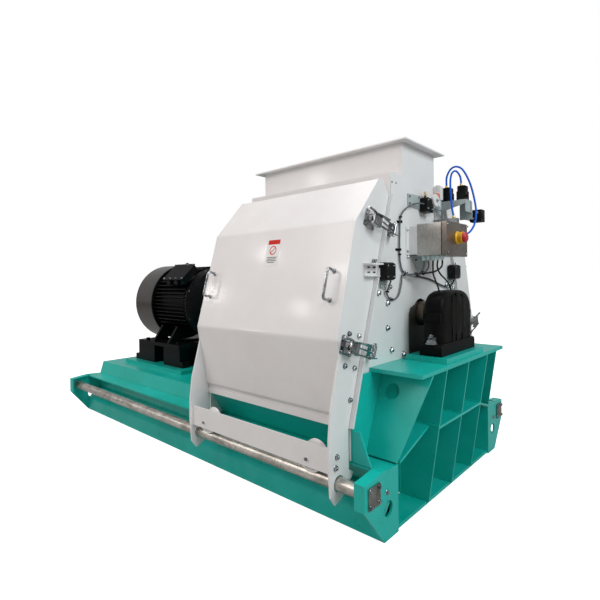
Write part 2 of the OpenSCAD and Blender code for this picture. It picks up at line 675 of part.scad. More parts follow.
wall_c = case_x1 + 10;
cable_flap = [[1520, -95, 1309], [1518, -98, 1285], [1496, -118, 1268], [1466, -170, 1264], [wall_c, -225, 1285],
    [wall_c, -258, 1330], [wall_c, -262, 1400], [wall_c, -256, 1480], [wall_c, -246, 1560], [wall_c + 8, -205, 1606],
    [wall_c + 14, -130, 1640], [wall_c + 20, -60, 1654], [wall_c + 22, 9, 1656]];
cable_front = [[1548, -95, 1309], [1546, -98, 1278], [1510, -128, 1256], [1470, -190, 1252], [wall_c, -240, 1244],
    [wall_c, -300, 1180], [wall_c, -350, 1120], [wall_c, -400, 1104], [wall_c + 6, -420, 1140], [wall_c + 22, -400, 1199]];
cable_bearing_a = [[1576, -95, 1309], [1578, -95, 1270], [1596, -90, 1220], [1606, -80, 1175], [1606, -72, 1128]];
cable_bearing_b = [[1604, -95, 1309], [1609, -95, 1272], [1626, -60, 1230], [1630, 20, 1190], [1616, 60, 1160], [1606, 66, 1130]];
cable_rear = [[1632, -95, 1309], [1637, -90, 1272], [1610, 10, 1240], [1530, 200, 1204], [1486, 310, 1160], [1478, 370, 1150],
    [1478, 380, 1199]];
module control_cables() color([0.12, 0.12, 0.13]) {
    sweep(smooth(cable_flap), 5, [1, 0, 0.05]);
    sweep(smooth(cable_front), 5, [1, 0, 0.05]);
    sweep(smooth(cable_bearing_a), 5, [1, 0, 0.05]);
    sweep(smooth(cable_bearing_b), 5, [1, 0, 0.05]);
    sweep(smooth(cable_rear), 5, [1, 0.2, 0.3]);
}

base_side_rails();
base_webs();
base_cross_plates();
motor_platform();
end_frame();
bearing_support_plates();
tube_brackets();
tube_end_caps();
guide_tubes();
casing_end_walls();
casing_frames();
inlet_chute();
shaft_slot_covers();
screens();
screen_frames();
bearing_housings();
motor_frame();
motor_fan_cowl();
motor_terminal_box();
motor_support_blocks();
motor_stator();
coupling_guard();
door_lock_cylinder();
control_box();
cable_glands();
limit_switches();
air_valves();
air_regulator();
air_hoses();
control_cables();
clamp_bases();
casing_bolts();
rotor_shaft();
rotor_discs();
hammer_pins();
coupling_mill_half();
hammers_top();
hammers_front();
hammers_bottom();
hammers_rear();
motor_rotor();
motor_fan();
coupling_motor_half();
inlet_flap();
estop_button();
regulator_knob();
front_door_frame();
front_door_panel();
front_door_handles();
rear_door_frame();
rear_door_panel();
rear_door_handles();
front_roller_motor_end();
front_roller_control_end();
rear_roller_motor_end();
rear_roller_control_end();
clamp_lever_front_upper();
clamp_lever_front_lower();
clamp_lever_rear_upper();
clamp_lever_rear_lower();
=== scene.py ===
"""Looks of a hammer mill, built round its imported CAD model.

Shapes are worked out in millimetres and scaled to metres when they are placed.
X runs along the shaft towards the control end, Y across, Z up.
"""

import math

import bpy
import numpy as np
from mathutils import Matrix


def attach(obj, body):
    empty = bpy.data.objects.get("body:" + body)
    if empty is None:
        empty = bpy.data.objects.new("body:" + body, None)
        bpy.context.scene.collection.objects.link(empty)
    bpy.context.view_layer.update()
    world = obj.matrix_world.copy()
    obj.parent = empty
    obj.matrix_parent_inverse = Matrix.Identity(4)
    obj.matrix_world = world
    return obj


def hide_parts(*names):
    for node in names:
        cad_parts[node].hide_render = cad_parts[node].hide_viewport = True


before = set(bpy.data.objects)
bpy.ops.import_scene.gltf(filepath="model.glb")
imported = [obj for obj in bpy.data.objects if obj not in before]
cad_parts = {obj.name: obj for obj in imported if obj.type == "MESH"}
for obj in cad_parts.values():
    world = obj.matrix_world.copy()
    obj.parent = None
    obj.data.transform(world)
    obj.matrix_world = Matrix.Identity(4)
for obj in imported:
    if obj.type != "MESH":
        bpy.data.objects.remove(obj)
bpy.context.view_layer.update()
MM = 0.001


# ---------------- shapes
class Shape:
    """Points and the faces between them. Faces are kept in groups with the same number of corners."""

    def __init__(self, points, groups):
        self.points = np.asarray(points, float).reshape(-1, 3)
        self.groups = [np.asarray(g, int) for g in groups]

    def volume(self):
        """Sum over the triangle fan of every face of a . (b x c) / 6."""
        total = 0.0
        for g in self.groups:
            for k in range(1, g.shape[1] - 1):
                a, b, c = (self.points[g[:, i]] for i in (0, k, k + 1))
                total += np.einsum("ij,ij->i", a, np.cross(b, c)).sum() / 6
        return total

    def outward(self):
        """The same closed shape with its faces turned outwards."""
        if self.volume() < 0:
            self.groups = [g[:, ::-1] for g in self.groups]
        return self

    def placed(self, turn=np.eye(3), shift=(0, 0, 0)):
        """Every point p becomes turn * p + shift; a mirrored shape has its faces turned back."""
        turn = np.asarray(turn, float)
        points = self.points @ turn.T + np.asarray(shift, float)
        flip = -1 if np.linalg.det(turn) < 0 else 1
        return Shape(points, [g[:, ::flip] for g in self.groups])


def joined(shapes):
    """Several shapes as one."""
    points, groups, start = [], [], 0
    for s in shapes:
        points.append(s.points)
        groups += [g + start for g in s.groups]
        start += len(s.points)
    return Shape(np.concatenate(points), groups)


def turn_x(degrees):
    """Matrix that turns about X, from Y towards Z."""
    c, s = math.cos(math.radians(degrees)), math.sin(math.radians(degrees))
    return np.array([[1, 0, 0], [0, c, -s], [0, s, c]])


def turn_z(degrees):
    """Matrix that turns about Z, from X towards Y."""
    c, s = math.cos(math.radians(degrees)), math.sin(math.radians(degrees))
    return np.array([[c, -s, 0], [s, c, 0], [0, 0, 1]])


AXES = {
    "x": np.array([[0, 0, 1], [1, 0, 0], [0, 1, 0]], float),
    "-x": np.array([[0, 0, -1], [-1, 0, 0], [0, 1, 0]], float),
    "y": np.array([[1, 0, 0], [0, 0, 1], [0, -1, 0]], float),
    "-y": np.array([[1, 0, 0], [0, 0, -1], [0, 1, 0]], float),
    "z": np.eye(3),
    "-z": np.diag([1.0, -1.0, -1.0]),
}
MIRROR_Y = np.diag([1.0, -1.0, 1.0])
MIRROR_X = np.diag([-1.0, 1.0, 1.0])


def lofted(rings, closed=False):
    """Skin over rings of points: quads join each ring to the next, and the first and last
    rings are closed by flat faces, or joined to each other where closed is set."""
    rings = np.asarray(rings, float)
    n, m = rings.shape[:2]
    rows = n if closed else n - 1
    r, c = (a.ravel() for a in np.meshgrid(np.arange(rows), np.arange(m), indexing="ij"))
    r2, c2 = (r + 1) % n, (c + 1) % m
    quads = np.stack([r * m + c, r * m + c2, r2 * m + c2, r2 * m + c], 1)
    ends = [] if closed else [np.arange(m)[None, ::-1], (n - 1) * m + np.arange(m)[None]]
    return Shape(rings, [quads, *ends]).outward()


def turned(profile, sides=48, ring=False):
    """Solid of revolution about Z: the profile lists (height, radius) pairs, and point k of a
    circle is radius * (cos, sin)(2 pi k / sides). A ring's profile is a closed loop."""
    h, rad = np.asarray(profile, float).T
    a = np.linspace(0, 2 * np.pi, sides, endpoint=False)
    rings = np.stack([rad[:, None] * np.cos(a), rad[:, None] * np.sin(a), h[:, None] + 0 * a], 2)
    return lofted(rings, ring)


def plate(outline, low, high, axis="x"):
    """Flat plate: an outline carried straight along an axis. The outline is in Y and Z for a
    plate square to x, in X and Z for y, and in X and Y for z."""
    flat = np.asarray(outline, float)
    order = {"x": [2, 0, 1], "y": [0, 2, 1], "z": [0, 1, 2]}[axis]
    rings = [np.column_stack([flat, np.full(len(flat), h)])[:, order] for h in (low, high)]
    return lofted(rings)


def corners(a0, a1, b0, b1):
    """The four corners of a rectangle, in order."""
    return [(a0, b0), (a1, b0), (a1, b1), (a0, b1)]


def block(x0, x1, y0, y1, z0, z1):
    """Box between two corners."""
    return plate(corners(y0, y1, z0, z1), x0, x1)


def curve_through(points, steps=10):
    """Catmull-Rom curve: between b and c, with neighbours a and d and f from 0 to 1, the point is
    (2b + (c-a)f + (2a-5b+4c-d)f^2 + (3b-a-3c+d)f^3) / 2."""
    q = np.asarray(points, float)
    p = np.concatenate([q[:1], q, q[-1:]])
    a, b, c, d = p[:-3, None], p[1:-2, None], p[2:-1, None], p[3:, None]
    f = (np.arange(steps) / steps)[None, :, None]
    bent = 0.5 * (2 * b + (c - a) * f + (2 * a - 5 * b + 4 * c - d) * f**2 + (3 * b - a - 3 * c + d) * f**3)
    return np.concatenate([bent.reshape(-1, q.shape[1]), q[-1:]])


def rounded_line(points, radius, steps=5, closed=False):
    """Corners of a line replaced by parabolas: with corner b, a point radius before it and one
    radius after it, the arc is a(1-f)^2 + 2bf(1-f) + cf^2."""
    p = np.asarray(points, float)
    before, after = np.roll(p, 1, 0), np.roll(p, -1, 0)
    to_a, to_c = before - p, after - p
    la, lc = np.linalg.norm(to_a, axis=1), np.linalg.norm(to_c, axis=1)
    reach = np.minimum(radius, 0.45 * np.minimum(la, lc))[:, None]
    a, c = p + to_a / la[:, None] * reach, p + to_c / lc[:, None] * reach
    f = np.linspace(0, 1, steps)[None, :, None]
    arcs = a[:, None] * (1 - f) ** 2 + 2 * p[:, None] * f * (1 - f) + c[:, None] * f**2
    if closed:
        return arcs.reshape(-1, p.shape[1])
    return np.concatenate([p[:1], arcs[1:-1].reshape(-1, p.shape[1]), p[-1:]])


def rounded_box(a0, a1, b0, b1, radius, steps=4):
    """Outline of a rectangle with rounded corners."""
    return rounded_line(corners(a0, a1, b0, b1), radius, steps, True)


def rod(path, radius, sides=16, closed=False):
    """Round rod along a path. The side directions u and v stay square to the path and turn as
    little as they can; a ring point is path + radius * (u cos a + v sin a)."""
    p = np.asarray(path, float)
    if closed:
        along = np.roll(p, -1, 0) - np.roll(p, 1, 0)
    else:
        along = np.gradient(p, axis=0)
    along /= np.linalg.norm(along, axis=1)[:, None]
    u = np.cross(along[0], [0.31, 0.17, 0.94])
    if np.linalg.norm(u) < 0.2:
        u = np.cross(along[0], [0.9, 0.3, 0.1])
    us = []
    for w in along:
        u = u - w * (u @ w)
        u /= np.linalg.norm(u)
        us.append(u)
    us = np.array(us)
    vs = np.cross(along, us)
    a = np.linspace(0, 2 * np.pi, sides, endpoint=False)[None, :, None]
    radii = np.broadcast_to(radius, len(p))[:, None, None]
    return lofted(p[:, None] + radii * (us[:, None] * np.cos(a) + vs[:, None] * np.sin(a)), closed)


def bolt(at, axis="x", size=16, stub=0.0):
    """Hexagon head with a chamfered top, on a washer, with a threaded stub above it if asked.
    The size is the thread's, so the head is 1.5 sizes across its flats and 0.64 high."""
    r = 1.5 * size / math.sqrt(3)
    base = 0.19 * size
    top = base + 0.64 * size
    parts = [turned([(base - 0.2, r), (top - 0.1 * size, r), (top, 0.86 * r)], 6),
             turned([(0, 0.98 * size), (base * 0.7, 0.98 * size), (base, 0.93 * size)], 28)]
    if stub:
        parts.append(turned([(top - 0.3, size / 2), (top + stub - 1, size / 2), (top + stub, size / 2 - 1)], 16))
    return joined(parts).placed(AXES[axis], at)


def screw(at, axis="x", size=5):
    """Domed screw head with a round socket in it."""
    h = 0.55 * size
    dome = [(0, size * 0.9), (h * 0.6, size * 0.86), (h, size * 0.6), (h, size * 0.42), (h * 0.35, size * 0.4)]
    return turned(dome, 20).placed(AXES[axis], at)


def put(name, shapes, body, finish, replaces=(), edge=0.0, smooth=34):
    """Makes a piece: sharp edges are kept where faces meet at more than the angle smooth, and
    edge is the width of the rounding along them, in millimetres."""
    s = joined(shapes if isinstance(shapes, (list, tuple)) else [shapes])
    mesh = bpy.data.meshes.new(name)
    mesh.from_pydata((s.points * MM).tolist(), [], [f for g in s.groups for f in g.tolist()])
    mesh.polygons.foreach_set("use_smooth", np.ones(len(mesh.polygons), bool))
    mesh.set_sharp_from_angle(angle=math.radians(smooth))
    mesh.materials.append(finish)
    o = bpy.data.objects.new(name, mesh)
    bpy.context.scene.collection.objects.link(o)
    if edge:
        m = o.modifiers.new("edges", "BEVEL")
        m.width, m.segments, m.limit_method = edge * MM, 2, "ANGLE"
        m.angle_limit, m.harden_normals = math.radians(smooth), True
    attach(o, body)
    if replaces:
        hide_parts(*replaces)
    return o


# ---------------- finishes
class Value:
    """A number or colour that varies over a surface. Arithmetic on it adds Math nodes."""

    def __init__(self, finish, socket):
        self.finish, self.socket = finish, socket

    def math(self, operation, *operands):
        return self.finish.node("ShaderNodeMath", {"operation": operation}, dict(enumerate(operands)))[0]

    def __add__(self, other):
        return self.math("ADD", self, other)

    def __sub__(self, other):
        return self.math("SUBTRACT", self, other)

    def __rsub__(self, other):
        return self.math("SUBTRACT", other, self)

    def __mul__(self, other):
        return self.math("MULTIPLY", self, other)

    def between(self, low, high):
        """0 below low, 1 above high, and a smooth step from one to the other."""
        keys = {0: self, 1: low, 2: high, 3: 0.0, 4: 1.0}
        return self.finish.node("ShaderNodeMapRange", {"interpolation_type": "SMOOTHSTEP"}, keys)[0]


class Finish:
    """A procedural material on Object coordinates, which are the frame's own metres."""

    def __init__(self, name, **constants):
        self.material = bpy.data.materials.new(name)
        self.material.use_nodes = True
        self.tree = self.material.node_tree
        self.shader = self.tree.nodes["Principled BSDF"]
        self.at = self.node("ShaderNodeTexCoord")[3]
        for key, value in constants.items():
            self.set(key.replace("_", " "), value)

    def node(self, kind, settings=None, values=None):
        """Adds a node: its settings first, then the values or links of its sockets."""
        made = self.tree.nodes.new(kind)
        for key, setting in (settings or {}).items():
            setattr(made, key, setting)
        for key, value in (values or {}).items():
            if isinstance(value, Value):
                self.tree.links.new(value.socket, made.inputs[key])
            else:
                made.inputs[key].default_value = value
        return [Value(self, s) for s in made.outputs]

    def set(self, key, value):
        """Sets or links one socket of the shader."""
        socket = self.shader.inputs[key]
        if isinstance(value, Value):
            self.tree.links.new(value.socket, socket)
        else:
            socket.default_value = value

    def noise(self, scale, detail=3.0, rough=0.55, stretch=(1, 1, 1), shift=(0, 0, 0)):
        """Cloudy pattern from 0 to 1, scale features to the metre, squeezed by stretch."""
        place = self.node("ShaderNodeMapping", {}, {"Vector": self.at, "Scale": stretch, "Location": shift})[0]
        keys = {"Vector": place, "Scale": scale, "Detail": detail, "Roughness": rough}
        return self.node("ShaderNodeTexNoise", {}, keys)[0]

    def mix(self, factor, first, second):
        """Colour first where factor is 0, second where it is 1."""
        colours = [c if isinstance(c, Value) else (*c, 1.0) for c in (first, second)]
        return self.node("ShaderNodeMix", {"data_type": "RGBA"}, {0: factor, 6: colours[0], 7: colours[1]})[2]

    def height(self):
        """Height above the floor in metres."""
        return self.node("ShaderNodeSeparateXYZ", {}, {0: self.at})[2]

    def bump(self, value, strength, distance):
        """Surface relief of that depth in metres."""
        keys = {"Height": value, "Strength": strength, "Distance": distance}
        self.set("Normal", self.node("ShaderNodeBump", {}, keys)[0])


def paint(name, colour, shade, roughness=0.32, coat=0.25, wave=0.0, dust=(0.5, 0.48, 0.44), shine=0.5):
    """Sprayed enamel: the colour drifts towards shade, the film has orange peel, sheet metal
    under it is a little wavy, and dust lies low down."""
    f = Finish(name, Coat_Weight=coat, Coat_Roughness=0.12, Specular_IOR_Level=shine)
    drift = f.noise(1.3, 4, 0.6)
    cloud = f.noise(7, 5, 0.65, shift=(3, 1, 2))
    peel = f.noise(230, 2, 0.5)
    speck = f.noise(620, 1, 0.5, shift=(5, 5, 5)).between(0.66, 0.74)
    tone = (drift * 0.65 + cloud * 0.35).between(0.33, 0.68)
    film = f.mix(tone, colour, shade)
    low = (1 - f.height().between(0.0, 0.5)) * cloud.between(0.45, 0.75)
    film = f.mix(low * 0.10 + speck * 0.06, film, dust)
    f.set("Base Color", film)
    f.set("Roughness", cloud * 0.16 + peel * 0.06 + (roughness - 0.11))
    f.bump(peel * 0.5 + f.noise(3.2, 2, 0.4) * wave, 0.5, 0.0006)
    return f.material


def metal(name, light, dark, roughness, grain, stretch, spots=0.0, depth=0.0003):
    """Bare metal: grain drawn out along one direction, cloudy stains between two tones, and
    roughness that follows both."""
    f = Finish(name, Metallic=1.0)
    streak = f.noise(grain, 3, 0.6, stretch)
    stain = f.noise(11, 5, 0.62, (1, 1, 1), (2, 7, 1))
    fleck = f.noise(75, 4, 0.7, shift=(1, 4, 9)).between(0.52, 0.66)
    tone = (streak * 0.45 + stain * 0.55).between(0.36, 0.62)
    f.set("Base Color", f.mix(fleck * spots, f.mix(tone, dark, light), dark))
    f.set("Roughness", streak * 0.18 + stain * 0.12 + fleck * (spots * 0.2) + (roughness - 0.15))
    f.bump(streak + fleck * (-0.5), 0.5, depth)
    return f.material


def plastic(name, colour, shade, roughness=0.42, grain=420, depth=0.0002, coat=0.0, clear=0.0, shine=0.5):
    """Moulded plastic or rubber: fine grain, a faint drift of tone and patchy gloss."""
    f = Finish(name, Transmission_Weight=clear, Coat_Weight=coat, Specular_IOR_Level=shine)
    cloud = f.noise(26, 4, 0.6)
    fine = f.noise(grain, 2, 0.5)
    f.set("Base Color", f.mix(cloud.between(0.35, 0.7), colour, shade))
    f.set("Roughness", cloud * 0.14 + fine * 0.08 + (roughness - 0.11))
    f.bump(fine, 0.4, depth)
    return f.material


def cast(name, colour, edge, roughness=0.5, grain=130, depth=0.0012, shine=0.25):
    """Painted sand casting: pitted skin, with a faint shine painted on its high spots, where the colour turns to the
    lighter tone edge.
    """
    f = Finish(name, Specular_IOR_Level=shine)
    pits = f.noise(grain, 5, 0.62)
    cloud = f.noise(14, 4, 0.6, shift=(4, 2, 8))
    # Painted highlight: the colour goes to the lighter edge tone where the pits and clouds stand high.
    f.set("Base Color", f.mix((pits * 0.5 + cloud * 0.5).between(0.45, 0.68), colour, edge))
    f.set("Roughness", cloud * 0.22 + pits * 0.12 + (roughness - 0.17))
    f.bump(pits, 0.6, depth)
    return f.material


def perforated(name, light, dark, hole_pitch, radius, shaft_z):
    """Screen plate: rows of round holes round the shaft. With u along X and v round the arc, both
    in pitches, there is a hole where cos(2 pi u) * cos(2 pi v) is above a limit."""
    f = Finish(name, Metallic=1.0)
    x, y, z = f.node("ShaderNodeSeparateXYZ", {}, {0: f.at})
    angle = (z - shaft_z).math("ARCTAN2", z - shaft_z, y)
    turns = 2 * math.pi / hole_pitch
    u, v = x * turns, angle * (radius * turns)
    hole = (u.math("COSINE", u) * v.math("COSINE", v)).between(0.32, 0.42)
    cloud = f.noise(18, 4, 0.6)
    f.set("Base Color", f.mix(cloud, light, dark))
    f.set("Roughness", cloud * 0.2 + 0.32)
    f.set("Alpha", 1 - hole)
    f.bump(1 - hole, 0.5, 0.0008)
    return f.material


# Directions in which a grain is drawn out
ALONG_X, SLIGHTLY_Z, UPRIGHT = (0.15, 1, 1), (1, 1, 0.3), (1, 1, 0.25)
FINE = dict(spots=0.25, depth=0.0001)

teal_paint = paint("teal_enamel", (0.004, 0.42, 0.345), (0.008, 0.51, 0.445), 0.30, 0.15, 0.6,
                   dust=(0.16, 0.46, 0.41), shine=0.4)
white_paint = paint("white_enamel", (0.80, 0.77, 0.765), (0.845, 0.83, 0.825), 0.32, 0.3, 1.4)
dark_paint = paint("charcoal_enamel", (0.085, 0.075, 0.065), (0.12, 0.11, 0.095), 0.45, 0.0, 0.5, shine=0.3)
tube_steel = metal("rolled_tube_steel", (0.76, 0.72, 0.66), (0.38, 0.35, 0.32), 0.36, 60, ALONG_X, spots=0.6)
plate_steel = metal("worn_plate_steel", (0.36, 0.345, 0.32), (0.17, 0.155, 0.14), 0.40, 90, (1, 1, 0.2), spots=0.4)
bright_steel = metal("zinc_plated_steel", (0.58, 0.59, 0.60), (0.16, 0.17, 0.19), 0.17, 110, SLIGHTLY_Z,
                     spots=0.35, depth=0.0001)
shaft_steel = metal("oiled_shaft_steel", (0.22, 0.17, 0.13), (0.10, 0.075, 0.06), 0.42, 120, (0.3, 1, 1), spots=0.4)
stainless = metal("brushed_stainless", (0.60, 0.575, 0.54), (0.43, 0.405, 0.375), 0.36, 150, UPRIGHT, **FINE)
# Painted shade: the lid is the tray's brushed stainless in a darker copy that stands for the shade on it.
shaded_lid_stainless = metal("shaded_brushed_lid_steel", (0.34, 0.30, 0.265), (0.23, 0.20, 0.175), 0.40, 150, UPRIGHT, **FINE)
brass = metal("turned_brass", (0.80, 0.56, 0.22), (0.58, 0.37, 0.12), 0.24, 200, (1, 1, 0.2), spots=0.2, depth=0.0001)
copper = metal("lacquered_winding", (0.62, 0.26, 0.12), (0.40, 0.15, 0.07), 0.36, 500, (0.06, 1, 1), spots=0.3)
# The second colour of each casting is the painted shine on its high spots.
black_cast = cast("black_casting", (0.0035, 0.003, 0.003), (0.008, 0.007, 0.006), 0.42, 90, 0.0015, shine=0.09)
motor_paint = cast("motor_enamel", (0.0035, 0.0035, 0.0045), (0.007, 0.0075, 0.009), 0.33, 170, 0.0006, shine=0.12)
cowl_paint = paint("cowl_enamel", (0.030, 0.028, 0.028), (0.046, 0.040, 0.038), 0.26, 0.5, 0.8,
                   dust=(0.08, 0.08, 0.08), shine=0.4)
black_plastic = plastic("black_plastic", (0.004, 0.004, 0.004), (0.008, 0.008, 0.008), 0.36, shine=0.16)
cable_sheath = plastic("cable_sheath", (0.006, 0.006, 0.007), (0.016, 0.016, 0.019), 0.45, 300, shine=0.3)
grey_sheath = plastic("grey_sheath", (0.10, 0.105, 0.115), (0.16, 0.165, 0.175), 0.45, 300, shine=0.4)
grey_plastic = plastic("pale_grey_plastic", (0.40, 0.455, 0.45), (0.48, 0.53, 0.52), 0.36)
gland_plastic = plastic("gland_plastic", (0.62, 0.75, 0.76), (0.70, 0.82, 0.83), 0.28)
white_plastic = plastic("white_plastic", (0.78, 0.76, 0.74), (0.84, 0.83, 0.81), 0.34)
blue_hose = plastic("blue_hose", (0.002, 0.10, 0.62), (0.003, 0.14, 0.72), 0.34, 240, 0.0001, shine=0.2)
red_plastic = plastic("signal_red_plastic", (0.50, 0.010, 0.022), (0.60, 0.018, 0.03), 0.32, coat=0.2)
yellow_plastic = plastic("signal_yellow_plastic", (0.82, 0.40, 0.010), (0.88, 0.47, 0.012), 0.36, coat=0.15)
orange_plastic = plastic("orange_plastic", (0.80, 0.10, 0.015), (0.88, 0.14, 0.02), 0.34, coat=0.15)
clear_plastic = plastic("clear_bowl_plastic", (0.70, 0.77, 0.81), (0.78, 0.84, 0.87), 0.18,
                        depth=0.0001, coat=0.3, clear=0.6)
label_white = plastic("label_film", (0.84, 0.83, 0.82), (0.90, 0.89, 0.88), 0.5, shine=0.2)
label_red = plastic("label_red_ink", (0.62, 0.015, 0.008), (0.70, 0.03, 0.012), 0.5, shine=0.15)
label_grey = plastic("label_grey_ink", (0.05, 0.05, 0.05), (0.09, 0.09, 0.09), 0.5, shine=0.2)
screen_steel = perforated("screen_plate", (0.46, 0.45, 0.43), (0.30, 0.29, 0.27),
                          hole_pitch=0.012, radius=0.517, shaft_z=0.996)
hammer_steel = metal("hardened_hammer_steel", (0.42, 0.41, 0.40), (0.20, 0.18, 0.17), 0.42, 70, SLIGHTLY_Z, spots=0.6)

SLOT_FINISH = dict(
    teal_paint=teal_paint, white_paint=white_paint, dark_paint=dark_paint, cowl_paint=cowl_paint,
    tube_steel=tube_steel, plate_steel=plate_steel, bright_steel=bright_steel, stainless=stainless,
    copper_winding=copper, black_cast=black_cast, motor_paint=motor_paint, black_plastic=black_plastic,
    grey_plastic=grey_plastic, white_plastic=white_plastic, red_plastic=red_plastic,
    orange_plastic=orange_plastic, blue_hose=blue_hose, cable_sheath=cable_sheath)
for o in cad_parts.values():
    for s in o.material_slots:
        s.material = SLOT_FINISH[s.material.name.split(".")[0]]
SLOT_OF = {finish.name: slot for slot, finish in SLOT_FINISH.items()}
for slot, finish in (
    ("bright_steel", brass), ("stainless", shaded_lid_stainless), ("grey_plastic", gland_plastic),
    ("cable_sheath", grey_sheath), ("orange_plastic", yellow_plastic), ("white_plastic", clear_plastic),
    ("white_plastic", label_white), ("red_plastic", label_red), ("black_plastic", label_grey),
):
    SLOT_OF[finish.name] = slot
OWN_FINISH = {
    screen_steel: ("screens",),
    shaft_steel: ("rotor_shaft",),
    hammer_steel: ("hammers_top", "hammers_front", "hammers_bottom", "hammers_rear"),
}
for finish, names in OWN_FINISH.items():
    for node in names:
        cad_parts[node].material_slots[0].material = finish

# ---------------- sizes shared with the frame
SHAFT_Z = 996
WALL, WALL_BACK = 1446, 309  # faces of the casing on the control side and the motor side
DOOR_X = (326, 1443)  # outer faces of a door's side plates
DOOR_GAP = 10.4  # thickness of a side plate and the joint to the panel
TUBE_Y, TUBE_Z, TUBE_R = 832, 250, 33
AXLE_Z, AXLE_X = 343.4, (453, 1288)
PANEL_LINE = [(452, 1743), (671, 1500), (836, 919), (780, 552), (762, 536), (762, 484)]
PANEL_INNER = [(447, 1736), (665, 1496), (829.5, 919), (774.5, 555), (756, 539), (756, 484)]
FACE_SLOPE = math.degrees(math.atan2(836 - 671, 1500 - 919))  # of the panel's middle face
BASE_HALF = 1629
ON_WALL = WALL + 0.4  # where a piece screwed to the wall begins
HANDLE_X, HANDLE_MID = (394, 1361), (753.5, 1179.5)
LABEL_X, LABEL_Z = 892, 1368
ANGLE_Y, ANGLE_X = (488, 604), (1443.2, 1449)  # interlock angle on the door's side plate
SIDES = {"front": -1, "rear": 1}


def on_side(shapes, side):
    """Shapes made for the rear side, or their mirror image for the front."""
    return [s.placed(MIRROR_Y) for s in shapes] if side < 0 else list(shapes)


def both_sides(shapes):
    """The mirror image in front, then the shapes themselves."""
    return on_side(shapes, -1) + list(shapes)


def on_face(shapes, out, mid, slope=FACE_SLOPE, x=0.0):
    """Shapes laid on a sloping face: their Y points out of it and their Z runs up along it."""
    return [s.placed(turn_x(slope), (x, mid[0] + out, mid[1])) for s in shapes]


# ---------------- doors
PLATE_BOLTS = [(738, 945), (657, 926), (777, 795), (699, 773), (739, 624), (848, 381), (859, 333)]


def door_panel():
    """Bent sheet: outer and inner lines with rounded bends, carried along the door."""
    outer = rounded_line(PANEL_LINE, 14)
    inner = rounded_line(PANEL_INNER, 12)
    return [plate(np.concatenate([outer, inner[::-1]]), DOOR_X[0] + DOOR_GAP, DOOR_X[1] - DOOR_GAP)]


def bow_handle(x):
    """Bow handle: a rod that rises from the face, runs along it and goes back, with two collars."""
    path = rounded_line([(0, -3, -74), (0, 54, -80), (0, 54, 80), (0, -3, 74)], 22, 7)
    collars = [turned([(0, 13), (4, 13), (6, 9.5)], 24).placed(AXES["y"], (0, -2.5, z)) for z in (-74, 74)]
    return on_face([rod(path, 7.5, 20), *collars], 9, HANDLE_MID, x=x)


def roller():
    """Grooved roller with rounded flanges and a hub. The groove follows the guide tube: at w from
    the middle its radius is d - sqrt(g^2 - w^2), with d the axle's height above the tube."""
    d, g = AXLE_Z - TUBE_Z, TUBE_R + 0.6
    w = np.linspace(-23, 23, 15)
    groove = np.column_stack([w, d - np.sqrt(g * g - w * w) - 0.1])
    rim = [(-31, 12.6), (-31, 26), (-28, 28), (-26, 58), (-31, 62), (-31, 72), (-29, 74.4), (-27, 75)]
    profile = np.concatenate([rim, groove, [(-a, r) for a, r in rim[::-1]]])
    wheel = turned(profile, 72, ring=True)
    studs = [bolt((44 * math.cos(a), 44 * math.sin(a), 26), "z", 7) for a in (0.3, 2.39, 4.49)]
    return [s.placed(AXES["y"]) for s in (wheel, *studs)] + [s.placed(AXES["-y"]) for s in studs]


def interlock_angle():
    """Angle that carries the switch actuator on the door's side plate."""
    (near, far), (inner, outer) = ANGLE_Y, ANGLE_X
    foot = plate(rounded_line([(near, 1226), (far, 1226), (far, 1290), (near, 1294)], 8, 4, True), inner, outer)
    lip = block(inner, 1472, near, far, 1222, 1226)
    return [foot, lip]


for end, side in SIDES.items():
    body = f"{end}_door"
    put(f"{end}_door_sheet", on_side(door_panel(), side), body, white_paint, [f"{end}_door_panel"], 0.8, 50)
    grips = [s for x in HANDLE_X for s in bow_handle(x)]
    put(f"{end}_door_bow_handles", on_side(grips, side), body, bright_steel, [f"{end}_door_handles"])
    heads = [bolt((DOOR_X[1], y, z), "x", 14, stub=3) for y, z in PLATE_BOLTS]
    heads += [bolt((DOOR_X[0], y, z), "-x", 14, stub=3) for y, z in PLATE_BOLTS]
    heads += [bolt((x, 889, AXLE_Z), "y", 10) for x in AXLE_X]
    put(f"{end}_door_bolts", on_side(heads, side), body, bright_steel)
    # Folded strip along the panel's lower edge
    strip = corners(764, 770, 487, 520)
    put(f"{end}_door_lower_strip", on_side([plate(strip, 337, 1432)], side), body, white_paint, (), 1.0)
    put(f"{end}_interlock_angle", on_side(interlock_angle(), side), body, white_paint, (), 0.8)
    # Painted shade: thin black sheets and short black rods laid on the angle stand for the shade inside its slots.
    slot_shade_marks = [plate(rounded_box(y, y + 24, z, z + 8, 3.5), 1448.9, 1449.5)
             for y in (504, 556) for z in (1240, 1266)]
    slot_shade_marks += [rod([(1449, y, 1288), (1449, y - 12, 1312)], 2.5, 8) for y in (504, 520, 536)]
    put(f"{end}_interlock_slot_shade", on_side(slot_shade_marks, side), body, black_plastic)
    for x, place, letter in zip(AXLE_X, ("motor_end", "control_end"), "ab"):
        wheel = [s.placed(shift=(x, TUBE_Y, AXLE_Z)) for s in roller()]
        put(f"{end}_track_roller_{place}", on_side(wheel, side), f"{end}_roller_{letter}", white_paint,
            [f"{end}_roller_{place}"])

# Plain label on the front door's middle face


def label_mid(z):
    """Distance of the panel's middle face from the middle plane at height z."""
    (y0, z0), (y1, z1) = PANEL_LINE[1:3]
    return y0 + (z0 - z) * (y1 - y0) / (z0 - z1)


